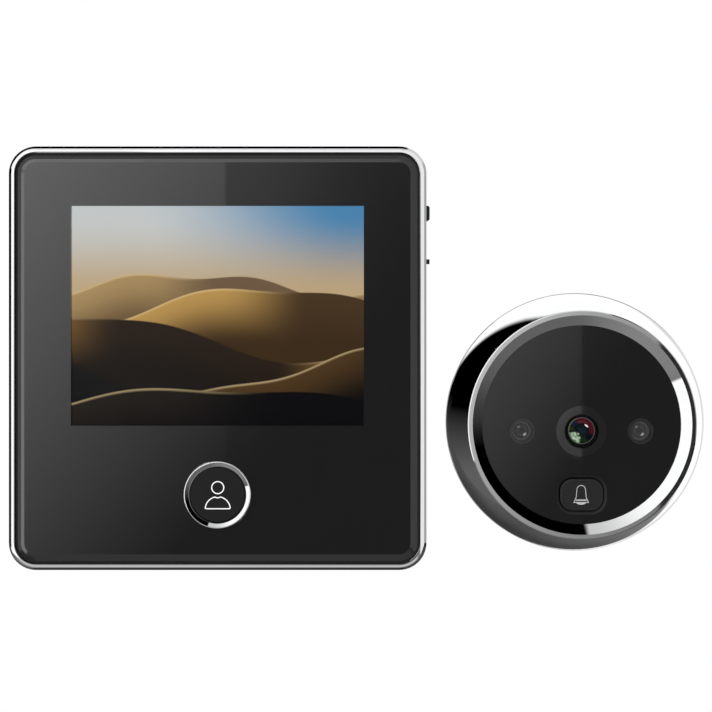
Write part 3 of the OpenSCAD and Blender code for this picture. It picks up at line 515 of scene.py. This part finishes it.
# A darker copy of the satin black for the view button: painted shade
SHADED_SATIN = finish_named("shaded_satin", satin_black(0.008, 0.012))
BLACK_MOULDED = finish_named("moulded_black", moulded_black)
SCREEN_SHEET = finish_named("screen_sheet", screen_sheet)
LENS_SHEET = finish_named("lens_sheet", lens_sheet)
LIGHT_WINDOW = finish_named("light_window", light_window)
LENS_REFLECTIONS = finish_named("lens_painted_reflections", lens_painted_reflections)
PICTURE = finish_named("display_picture", display_picture)
LED_GLOW = finish_named("led_resin", led_resin)
TRAY = finish_named("tray_tin", plain_metal((0.74, 0.75, 0.76, 1), (0.62, 0.63, 0.64, 1), 0.3, 3.0))
FOIL = finish_named("pouch_foil", plain_metal((0.66, 0.68, 0.7, 1), (0.5, 0.52, 0.54, 1), 0.35, 1.5))
ZINC = finish_named("zinc_sheet", plain_metal((0.66, 0.67, 0.68, 1), (0.46, 0.47, 0.48, 1), 0.28, 1.2))
SCREW = finish_named("screw_steel", plain_metal((0.42, 0.42, 0.43, 1), (0.28, 0.28, 0.29, 1), 0.28, 6.0))
BRASS = finish_named("turned_brass", plain_metal((0.78, 0.58, 0.26, 1), (0.6, 0.42, 0.17, 1), 0.22, 5.0))
BOARD = finish_named("solder_mask", plain_moulding((0.03, 0.16, 0.07, 1), (0.015, 0.1, 0.04, 1), 0.3, 2.0))
CHIP = finish_named("chip_resin", plain_moulding(grey(0.035), grey(0.02), 0.5, 9.0))
BARREL = finish_named("barrel_black", plain_moulding(grey(0.006), grey(0.003), 0.32, 8.0, index=1.25))
IVORY = finish_named("socket_ivory", plain_moulding((0.8, 0.75, 0.64, 1), (0.7, 0.65, 0.54, 1), 0.4, 4.0))
RUBBER = finish_named("seal_rubber", plain_moulding(grey(0.009), grey(0.005), 0.4, 10.0, index=1.45))
FOAM = finish_named("gasket_foam", plain_moulding(grey(0.05), grey(0.018), 0.8, 4.0, depth_mm=0.12))
WHITE_PRINT = finish_named("white_print", icon_print(0.9, 0.55))
GREY_PRINT = finish_named("grey_print", icon_print(0.55, 0.3))

dress(CHROME, "bezel", "camera_housing", "view_ring")
dress(PANEL_BLACK, "front_panel")
dress(BLACK_GLOSS, "face_panel")
dress(BLACK_SATIN, "bell_button", "power_knob", "reset_button")
dress(SHADED_SATIN, "view_button")
dress(BLACK_MOULDED, "rear_cover", "rear_cap")
dress(SCREEN_SHEET, "screen_window")
dress(LENS_SHEET, "lens_window")
dress(LIGHT_WINDOW, "ir_windows")
dress(LENS_REFLECTIONS, "lens_element")
dress(PICTURE, "lcd_glass")
dress(TRAY, "lcd_tray")
dress(BOARD, "main_board", "camera_board")
dress(CHIP, "board_chips", "image_sensor", "view_switch", "bell_switch", "usb_tongue", "speaker")
dress(BARREL, "lens_barrel", "lens_holder")
dress(FOIL, "battery")
dress(ZINC, "mounting_bracket", "usb_shell", "card_socket", "power_switch", "reset_switch")
dress(SCREW, "case_screws", "board_screws", "rear_cap_screws")
dress(IVORY, "camera_socket", "lead_socket", "view_plunger", "bell_plunger")
dress(LED_GLOW, "ir_leds")
dress(RUBBER, "bell_seal")
dress(FOAM, "door_gasket")
dress(BRASS, "threaded_inserts")


# Icons on the two buttons, each a thin raised print

# Height above the button's face, depth below it, and how far of that depth a hollow sinks
ICON_PROUD = 0.03 * MM
ICON_DEEP = 0.06 * MM
HOLLOW_SINK = 0.6
# How near an edge's middle lies to the person's foot, or to the bell's lowest line, to be chosen
FOOT_NEAR = 0.05 * MM
LOWEST_NEAR = 0.01 * MM

# The person, in millimetres from the view button's middle
PERSON_RIGHT = 0.08
PERSON_STROKE = 0.5
HEAD_RADIUS = 1.37
HEAD_UP = 1.52
SHOULDER_RADIUS = 2.73
FOOT_DOWN = 3.0
FOOT_ROUND = 0.45
NECK_RADIUS = 0.85
NECK_ABOVE_FOOT = 3.36
NECK_REACH = 1.0

# The bell, in millimetres from the bell button's middle
BELL_LEFT = 0.12
BELL_STROKE = 0.34
DOME_RADIUS = 0.98
DOME_UP = 1.1
# Drops from the dome to the rim, and how much wider the bell gets over each
BELL_WAIST = (1.6, 1.15)
BELL_FLARE = (1.15, 1.48)
BAR_LENGTH = 2.3
BAR_SHARE = 0.12
BAR_ABOVE_RIM = 0.55
CLAPPER_RADIUS = 1.0
CLAPPER_SHARE = 0.42


def start_circle(radius, x, z, y, corners=48):
    """A flat disc that faces the front."""
    bpy.ops.object.select_all(action="DESELECT")
    bpy.ops.mesh.primitive_circle_add(vertices=corners, radius=radius * MM, fill_type="NGON",
                                      location=(x, y, z), rotation=FACING_FRONT)
    bpy.ops.object.transform_apply(location=True, rotation=True, scale=True)
    return bpy.context.object


def choose(piece, kind, test):
    """Selects the faces or edges whose middle and direction pass the test, and stays in edit mode."""
    bpy.ops.object.mode_set(mode="EDIT")
    bpy.ops.mesh.select_mode(type=kind)
    bpy.ops.mesh.select_all(action="DESELECT")
    bpy.ops.object.mode_set(mode="OBJECT")
    points = piece.data.vertices
    if kind == "FACE":
        for face in piece.data.polygons:
            face.select = test(face.center, face.normal)
    else:
        for edge in piece.data.edges:
            first, second = (points[i].co for i in edge.vertices)
            edge.select = test((first + second) / 2, second - first)
    bpy.ops.object.mode_set(mode="EDIT")


def faces_front(_, normal):
    return normal.y < -0.9


def push(x, y, z):
    """Extrudes what is selected by so many metres."""
    bpy.ops.mesh.extrude_region_move(TRANSFORM_OT_translate={"value": (x, y, z)})


def keep_half(height, upper):
    """Cuts the flat shape along a level line and keeps one half."""
    bpy.ops.object.mode_set(mode="EDIT")
    bpy.ops.mesh.select_all(action="SELECT")
    bpy.ops.mesh.bisect(plane_co=(0, 0, height), plane_no=(0, 0, 1), clear_inner=upper, clear_outer=not upper)
    bpy.ops.object.mode_set(mode="OBJECT")


def flatten(share, centre):
    """Presses the flat shape to a share of its height, and stays in edit mode."""
    bpy.ops.object.mode_set(mode="EDIT")
    bpy.ops.mesh.select_all(action="SELECT")
    bpy.ops.transform.resize(value=(1, 1, share), center_override=centre)


def thicken(piece):
    """Gives the flat shape its thickness, from inside the button to just above its face."""
    choose(piece, "FACE", faces_front)
    push(0, -ICON_PROUD - ICON_DEEP, 0)
    bpy.ops.object.mode_set(mode="OBJECT")


def hollow(piece, stroke):
    """Leaves only a stroke along the outline: the inside sinks below the button's face."""
    choose(piece, "FACE", faces_front)
    bpy.ops.mesh.inset(thickness=stroke * MM, use_boundary=True)
    bpy.ops.transform.translate(value=(0, ICON_PROUD + ICON_DEEP * HOLLOW_SINK, 0))
    bpy.ops.object.mode_set(mode="OBJECT")


def scoop_out(piece, tool):
    """Takes a tool's shape out of a piece, and the tool away."""
    bpy.ops.object.select_all(action="DESELECT")
    bpy.context.view_layer.objects.active = piece
    piece.select_set(True)
    scoop = piece.modifiers.new("scoop", "BOOLEAN")
    scoop.object = tool
    scoop.operation = "DIFFERENCE"
    bpy.ops.object.modifier_apply(modifier="scoop")
    bpy.data.objects.remove(tool)


def join_as(name, pieces, material, body):
    bpy.ops.object.select_all(action="DESELECT")
    for piece in pieces:
        piece.select_set(True)
    bpy.context.view_layer.objects.active = pieces[0]
    bpy.ops.object.join()
    icon = bpy.context.object
    icon.name = name
    icon.data.materials.clear()
    icon.data.materials.append(material)
    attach(icon, body)


def build_person():
    """A ring for the head above a half ring for the shoulders, scooped out at the neck."""
    x = VIEW_CENTRE.x + PERSON_RIGHT * MM
    back = VIEW_LOW.y + ICON_DEEP
    foot_z = VIEW_CENTRE.z - FOOT_DOWN * MM

    def foot_corner(middle, along):
        return abs(along.y) > abs(along.x) + abs(along.z) and abs(middle.z - foot_z) < FOOT_NEAR

    head = start_circle(HEAD_RADIUS, x, VIEW_CENTRE.z + HEAD_UP * MM, back)
    thicken(head)
    hollow(head, PERSON_STROKE)
    shoulders = start_circle(SHOULDER_RADIUS, x, foot_z, back, corners=64)
    keep_half(foot_z, True)
    thicken(shoulders)
    neck = start_circle(NECK_RADIUS, x, foot_z + NECK_ABOVE_FOOT * MM, back + NECK_REACH * MM)
    choose(neck, "FACE", faces_front)
    push(0, -2 * NECK_REACH * MM, 0)
    bpy.ops.mesh.select_all(action="SELECT")
    bpy.ops.mesh.normals_make_consistent(inside=False)
    bpy.ops.object.mode_set(mode="OBJECT")
    scoop_out(shoulders, neck)
    choose(shoulders, "EDGE", foot_corner)
    bpy.ops.mesh.bevel(offset=FOOT_ROUND * MM, segments=5)
    bpy.ops.object.mode_set(mode="OBJECT")
    hollow(shoulders, PERSON_STROKE)
    join_as("view_icon", [head, shoulders], WHITE_PRINT, "view_button")


def build_bell():
    """A dome that flares to its rim, with a bar across it and a clapper below."""
    x = BELL_CENTRE.x - BELL_LEFT * MM
    back = BELL_LOW.y + ICON_DEEP
    dome_z = BELL_CENTRE.z + DOME_UP * MM
    rim_z = dome_z - (BELL_WAIST[0] + BELL_FLARE[0]) * MM
    bar_z = rim_z + BAR_ABOVE_RIM * MM

    bell = start_circle(DOME_RADIUS, x, dome_z, back, corners=40)
    keep_half(dome_z, True)
    for drop, spread in (BELL_WAIST, BELL_FLARE):
        low = min(v.co.z for v in bell.data.vertices)
        choose(bell, "EDGE", lambda middle, _: abs(middle.z - low) < LOWEST_NEAR)
        push(0, 0, -drop * MM)
        bpy.ops.transform.resize(value=(spread, 1, 1), center_override=(x, back, low))
        bpy.ops.object.mode_set(mode="OBJECT")
    thicken(bell)
    hollow(bell, BELL_STROKE)
    clapper = start_circle(CLAPPER_RADIUS, x, rim_z, back, corners=32)
    keep_half(rim_z, False)
    flatten(CLAPPER_SHARE, (x, back, rim_z))
    thicken(clapper)
    bpy.ops.object.select_all(action="DESELECT")
    bpy.ops.mesh.primitive_plane_add(size=BAR_LENGTH * MM, location=(x, back, bar_z), rotation=FACING_FRONT)
    bar = bpy.context.object
    bpy.ops.object.transform_apply(location=True, rotation=True, scale=True)
    flatten(BAR_SHARE, (x, back, bar_z))
    thicken(bar)
    join_as("bell_icon", [bell, clapper, bar], GREY_PRINT, "bell_button")


build_person()
build_bell()


# Studio: white panels and black flags, by direction from the set.
# Tilt is the angle in degrees from straight ahead, turn the angle round it, clockwise from the right.

# Zones by tilt: in front, wide of it, at the side and at the back
LEAST_AHEAD = 0.02
WIDE_EDGE = (13, 14.5)
ZONE_EDGE = (-2, 2)
SIDE_START = 76.0
SIDE_SOONER_BESIDE = 6.0
SIDE_LATER_BELOW = 5.0
SIDE_BELOW = (40, 140, 10)
BESIDE_ABOVE = (340, 348)
BESIDE_BELOW = (20, 12)
BACK_START = 119.0
BACK_SOONER_BELOW = 15.0
BACK_BELOW = (105, 180, 8)

# The front, in slopes: so far right or up for each metre ahead
FRONT_RIGHT = 0.0095
FRONT_DOWN = 0.017
FRONT_LEAST = 0.04
TALL_LIGHT = 11.1
TALL_POWER = 1.18
TALL_SLANT = 0.9
TALL_TOP = (0.125, 0.119)
TALL_LEFT = (-0.207, -0.199)
TALL_SPLIT = (-0.0785, -0.0765)
TALL_SPLIT_LOSS = 0.45
TALL_FADE = (-0.06, 0.03)
TALL_FADE_LOSS = 0.55
# The camera unit's place there, and its parts by distance from its middle
UNIT_RIGHT = 0.1345
UNIT_DOWN = 0.0409
LENS_DOWN = 0.0037
LENS_EDGE = (0.0168, 0.0162)
FACE_EDGE = (0.0632, 0.0622)
FACE_SPLIT = (-0.0006, 0.0008)
LIP_BAND = (0.0635, 0.0705, 0.0008)
LIP_LIT = (0.047, 0.0455)
LIP_LOSS = 0.025
RIM_BAND = (0.0725, 0.09, 0.001)
RIM_LIGHT = 0.35
# Even changes across it: brightness in the middle, gain to the right and gain upwards
FACE_LEFT = (0.19, -9.3, 6.35)
FACE_LEFT_LEAST = 0.1
LENS_PRINT_MORE = 0.15
FACE_RIGHT = (0.06, -3.6, 2.4)
LIP = (0.335, -1.66, 1.16)
LIP_UPPER_LEFT = (-0.08, -1.64, 1.14)

# The crest round the front panel, as a tilt that leans with the turn and bulges at the upper left corner
CREST_LEAN = 0.06
CREST_TURN = 185.0
CREST_BULGE = 3.2
BULGE_START = (190, 219)
BULGE_END = (252, 222)
CREST_OUTSIDE = (23.5, 28.0)
GLARE = 2.6
GLARE_TURNS = (120, 262, 30)
GLARE_CREST = (29.1, 31.3, 0.45)
# The large panel above left: the turns of its two ends, which lean with the tilt
FIRST_TURN = 119.0
FIRST_LEAN = 0.54
FIRST_BLEND = 1.5
FIRST_BLEND_NEAR = 9.0
FIRST_NEAR = (46, 38)
LAST_TURN = 235.2
LAST_LEAN = 0.8
LAST_EDGE = (1.5, -1.5)
PANEL_INSIDE = 0.35
PANEL_OUTSIDE = 0.75
PANEL_SHADE = 0.45
SHADE_TURNS = (232, 276)
SHADE_TILTS = (46, 48.5)
# The strips above and on the right
STRIP_LIGHT = 0.9
ABOVE_START = (-5.0, 0.0)
ABOVE_END = (343, 327)
ABOVE_TILTS = (52.3, 50.6)
RIGHT_START = (318, 330)
RIGHT_END = (42, 30)
RIGHT_TILTS = (54, 50)
RIGHT_WIDER = 6.0
# The near strip below
NEAR_LIGHT = 0.08
NEAR_MORE = 0.47
NEAR_TILTS = (19, 27)
NEAR_TURNS = (42, 140, 8)
NEAR_END = (57.2, 54.0)
NEAR_LEAN = 0.16
NEAR_LEAN_TURN = 95.0

# The side: a strip above and on the right, brighter at its upper part, and a little light below
SIDE_ABOVE = (286, 292)
SIDE_RIGHT = (12, 6)
SIDE_LIGHT = 0.42
SIDE_MORE = 0.27
SIDE_MORE_TURNS = (289, 332, 5)
SIDE_LOW = 0.02
SIDE_LOW_TURNS = (20, 160, 10)

# The back: white above and on the right, with a darker line at the outline, and grey below
BACK_LIGHT = 1.1
SWEEP_LEAN = 1.04
SWEEP_START = (374, 386)
SWEEP_TURNS = (170, 180)
RIGHTWARD_END = (40, 28)
RIGHTWARD_LEAN = 1.2
RIGHTWARD_TILT = 133.0
OUTLINE_LOSS = 0.32
OUTLINE_TILTS = (148, 152)
OUTLINE_ABOVE = (318, 332)
OUTLINE_BELOW = (60, 50)
GREY_LOSS = 0.5
GREY_TILTS = (125, 152)
GREY_TURNS = (60, 150, 20)

# Brightness by turn: below the panels, and behind the set
LOW_SIDE = [
    (0, 0.012), (6, 0.035), (15, 0.06), (28, 0.11), (40, 0.13), (80, 0.133), (95, 0.208), (110, 0.243),
    (126, 0.238), (142, 0.225), (160, 0.12), (175, 0.0), (353, 0.0), (360, 0.012),
]
BEHIND = [
    (0, 0.24), (34, 0.24), (52, 0.205), (66, 0.156), (80, 0.12), (95, 0.098), (110, 0.078), (127, 0.1),
    (143, 0.112), (160, 0.07), (177, 0.02), (190, 0.0), (360, 0.0),
]
# Brightness of the card between the units, by height in millimetres
CARD_LIGHT = [(-36.0, 0.12), (-28.5, 0.12), (-21.0, 0.075), (-14.6, 0.033), (-10.0, 0.0)]

FLOOR_SIZE = 600 * MM
FLOOR_PLACE = Vector((30, 20, -165)) * MM


def build_studio():
    """The studio's light for the part, and white paper for the camera."""
    world = bpy.data.worlds.new("studio")
    bpy.context.scene.world = world
    world.use_nodes = True
    sheet = Sheet(world.node_tree)
    light = studio_light(sheet, *sheet.split(sheet.node("TexCoord", out="Generated")))
    colour = sheet.node("CombineColor", None, {0: light, 1: light, 2: light})
    panels = sheet.node("Background", None, {"Color": colour, "Strength": 1.0})
    paper = sheet.node("Background", None, {"Color": grey(1.0), "Strength": 1.0})
    seen = sheet.node("LightPath", out="Is Camera Ray")
    both = sheet.node("MixShader", None, {0: seen, 1: panels, 2: paper})
    sheet.node("OutputWorld", None, {"Surface": both})


def studio_light(sheet, dx, dy, dz):
    """Brightness in one direction, from its zone."""
    front = -dy
    tilt = front.math("ARCCOSINE") * DEGREES
    turn = (-dz).math("ARCTAN2", dx) * DEGREES
    turn = turn + FULL_TURN * turn.math("LESS_THAN", 0.0)
    ahead = front.at_least(LEAST_AHEAD)
    beside = sheet.step(turn, *BESIDE_ABOVE) + sheet.step(turn, *BESIDE_BELOW)
    side_start = SIDE_START - SIDE_SOONER_BESIDE * beside + SIDE_LATER_BELOW * sheet.band(turn, *SIDE_BELOW)
    back_start = BACK_START - BACK_SOONER_BELOW * sheet.band(turn, *BACK_BELOW)
    at_wide = sheet.step(tilt, *WIDE_EDGE)
    at_side = sheet.step(tilt - side_start, *ZONE_EDGE)
    at_back = sheet.step(tilt - back_start, *ZONE_EDGE)
    light = front_light(sheet, dx / ahead, dz / ahead) * (1.0 - at_wide)
    light = light + wide_light(sheet, tilt, turn, beside) * at_wide * (1.0 - at_side)
    light = light + side_light(sheet, turn) * at_side * (1.0 - at_back)
    return light + back_light(sheet, tilt, turn) * at_back


def even_change(aside, above, change):
    middle, by_right, by_up = change
    return middle + by_right * aside + by_up * above


def front_light(sheet, right, rise):
    """The tall panel in the screen unit's front, and the small ones in the camera unit's face and lip."""
    right = right - FRONT_RIGHT
    rise = rise + FRONT_DOWN
    slant = (TALL_SLANT * rise - right).at_least(0.0)
    tall = TALL_LIGHT * slant.math("POWER", TALL_POWER) * sheet.step(rise, *TALL_TOP)
    tall = tall * (1.0 - TALL_SPLIT_LOSS * sheet.step(right, *TALL_SPLIT)) * sheet.step(right, *TALL_LEFT)
    tall = tall * (1.0 - TALL_FADE_LOSS * sheet.step(right, *TALL_FADE))
    aside = right - UNIT_RIGHT
    above = rise + UNIT_DOWN
    reach = length(aside, above)
    lens_print = sheet.step(length(aside, above + LENS_DOWN), *LENS_EDGE)
    left_half = even_change(aside, above, FACE_LEFT)
    left_half = left_half.at_least(FACE_LEFT_LEAST + LENS_PRINT_MORE * lens_print)
    right_half = even_change(aside, above, FACE_RIGHT).at_least(FACE_RIGHT[0])
    face = left_half + (right_half - left_half) * sheet.step(aside, *FACE_SPLIT)
    lip = even_change(aside, above, LIP) + even_change(aside, above, LIP_UPPER_LEFT).at_least(0.0)
    lip = lip * sheet.step(aside, *LIP_LIT) - LIP_LOSS
    small = face * sheet.step(reach, *FACE_EDGE) + lip * sheet.band(reach, *LIP_BAND)
    return tall + small + RIM_LIGHT * sheet.band(reach, *RIM_BAND) + FRONT_LEAST


def wide_light(sheet, tilt, turn, beside):
    """The large panel above left, the strips above and right, and the dim side below."""
    crest = tilt + CREST_LEAN * (turn - CREST_TURN)
    crest = crest - CREST_BULGE * sheet.step(turn, *BULGE_START) * sheet.step(turn, *BULGE_END)
    outside = sheet.step(crest, *CREST_OUTSIDE)
    glare = GLARE * sheet.band(turn, *GLARE_TURNS) * sheet.band(crest, *GLARE_CREST)
    first_blend = FIRST_BLEND + FIRST_BLEND_NEAR * sheet.step(tilt, *FIRST_NEAR)
    past_first = turn - FIRST_LEAN * tilt - FIRST_TURN
    past_last = turn - LAST_LEAN * tilt - LAST_TURN
    panel = sheet.step(past_first / first_blend, -1.0, 1.0) * sheet.step(past_last, *LAST_EDGE)
    shade = PANEL_SHADE * sheet.step(turn, *SHADE_TURNS) * sheet.step(tilt, *SHADE_TILTS)
    panel = panel * (PANEL_INSIDE + (PANEL_OUTSIDE + glare) * outside - shade)
    above = sheet.step(past_last, *ABOVE_START) * sheet.step(turn, *ABOVE_END)
    above = above * sheet.step(tilt, *ABOVE_TILTS)
    right = sheet.step(turn, *RIGHT_START) + sheet.step(turn, *RIGHT_END)
    right = right * sheet.step(tilt - RIGHT_WIDER * beside, *RIGHT_TILTS)
    strips = ((STRIP_LIGHT + glare * outside) * above).at_least(STRIP_LIGHT * right)
    near_tilt = tilt + NEAR_LEAN * (turn - NEAR_LEAN_TURN).at_least(0.0)
    near = NEAR_LIGHT + NEAR_MORE * sheet.step(tilt, *NEAR_TILTS)
    near = near * sheet.step(near_tilt, *NEAR_END) * sheet.band(turn, *NEAR_TURNS)
    low = sheet.ramp(turn, 0, FULL_TURN, LOW_SIDE).at_least(near)
    return panel.at_least(strips.at_least(low))


def side_light(sheet, turn):
    strip = sheet.step(turn, *SIDE_ABOVE) + sheet.step(turn, *SIDE_RIGHT)
    more = SIDE_MORE * sheet.band(turn, *SIDE_MORE_TURNS)
    return SIDE_LIGHT * strip + more + SIDE_LOW * sheet.band(turn, *SIDE_LOW_TURNS)


def back_light(sheet, tilt, turn):
    """White above and on the right, black on the left, grey below."""
    sweep = turn + SWEEP_LEAN * tilt
    white = sheet.step(sweep, *SWEEP_START) * sheet.step(turn, *SWEEP_TURNS)
    rightward = turn - RIGHTWARD_LEAN * (tilt - RIGHTWARD_TILT).at_least(0.0)
    white = white + sheet.step(rightward, *RIGHTWARD_END)
    outline = sheet.step(turn, *OUTLINE_ABOVE) + sheet.step(turn, *OUTLINE_BELOW)
    outline = outline * sheet.step(tilt, *OUTLINE_TILTS)
    dimmed = sheet.step(tilt, *GREY_TILTS) * sheet.band(turn, *GREY_TURNS)
    grey_side = sheet.ramp(turn, 0, FULL_TURN, BEHIND) * (1.0 - GREY_LOSS * dimmed)
    return (BACK_LIGHT * white * (1.0 - OUTLINE_LOSS * outline)).at_least(grey_side)


def build_card(name, place, turn, size, finish):
    """A card beside the set that only the glossy surfaces see."""
    bpy.ops.object.select_all(action="DESELECT")
    angles = [math.radians(angle) for angle in turn]
    bpy.ops.mesh.primitive_plane_add(size=1.0, location=Vector(place) * MM, rotation=angles)
    card = bpy.context.object
    card.name = name
    card.scale = (size[0] * MM, size[1] * MM, 1.0)
    bpy.ops.object.transform_apply(location=True, rotation=True, scale=True)
    card.data.materials.append(finish)
    card.visible_camera = False
    card.visible_diffuse = False
    card.visible_transmission = False
    card.visible_shadow = False


def glowing(colour):
    return {
        "Base Color": grey(0.0),
        "Roughness": 1.0,
        "IOR": 1.0,
        "Emission Color": colour,
        "Emission Strength": 1.0,
    }


def card_plain(light):
    def build(sheet):
        cloth = sheet.noise(sheet.place(), 0.5, 2.0)
        return glowing(sheet.mix(cloth, grey(0.95 * light), grey(light)))
    return build


def card_dim(sheet):
    _, _, height = sheet.split(sheet.place())
    return glowing(sheet.ramp(height, CARD_LIGHT[0][0], CARD_LIGHT[-1][0], CARD_LIGHT))


def build_floor():
    """A pale floor well below the part, outside the photograph's view."""
    bpy.ops.object.select_all(action="DESELECT")
    bpy.ops.mesh.primitive_plane_add(size=FLOOR_SIZE, location=FLOOR_PLACE)
    floor = bpy.context.object
    floor.name = "floor"
    bpy.ops.object.transform_apply(location=True, rotation=True, scale=True)
    floor.data.materials.append(finish_named("floor_paper", floor_paper))
    floor.visible_glossy = False


def floor_paper(sheet):
    fibre = sheet.noise(sheet.place(), 0.05, 3.0)
    return {"Base Color": sheet.mix(fibre, grey(0.8), grey(0.84)), "Roughness": 0.8}


def build_camera():
    data = bpy.data.cameras.new("camera")
    data.lens = LENS_MM
    data.sensor_width = SENSOR_MM
    data.clip_start = NEAR_CLIP
    aim = FRAME_CENTRE - CAMERA_PLACE
    data.shift_x = aim.x / aim.y * LENS_MM / SENSOR_MM
    data.shift_y = aim.z / aim.y * LENS_MM / SENSOR_MM
    camera = bpy.data.objects.new("camera", data)
    bpy.context.scene.collection.objects.link(camera)
    camera.location = CAMERA_PLACE
    camera.rotation_euler = FACING_FRONT
    bpy.context.scene.camera = camera


build_studio()

DIM = finish_named("card_dim", card_dim)
PALE = finish_named("card_pale", card_plain(0.39))
WHITE = finish_named("card_white", card_plain(0.85))
DARK = finish_named("card_dark", card_plain(0.06))
FLAG = finish_named("flag_black", card_plain(0.0))
# A dim card stands for the screen unit's dark side, and a pale one behind it lights that side. A white and a
# dark card stand by the screen unit's right corners, and black flags by its left side and upper left corner.
# Each has its place in millimetres, turn in degrees and size along and across.
build_card("dim_card", (46.2, -7.1, -16.5), (0, 90, 0), (60, 15.3), DIM)
build_card("pale_card", (44.1, -12.2, 0.5), (0, 90, 0), (75, 8.0), PALE)
build_card("dark_card", (42.9, -13.6, -43.5), (0, -45, 0), (9.5, 4.8), DARK)
build_card("corner_card", (49.2, -22, 49.8), (30, 45, 0), (24, 6.8), WHITE)
build_card("left_flag", (-52.5, -19.5, 0), (0, 90, 0), (84, 5.0), FLAG)
build_card("corner_flag", (-50.1, -19.75, 50.7), (30, -45, 0), (24, 4.6), FLAG)

build_floor()
build_camera()
bpy.context.scene.view_settings.view_transform = "Standard"
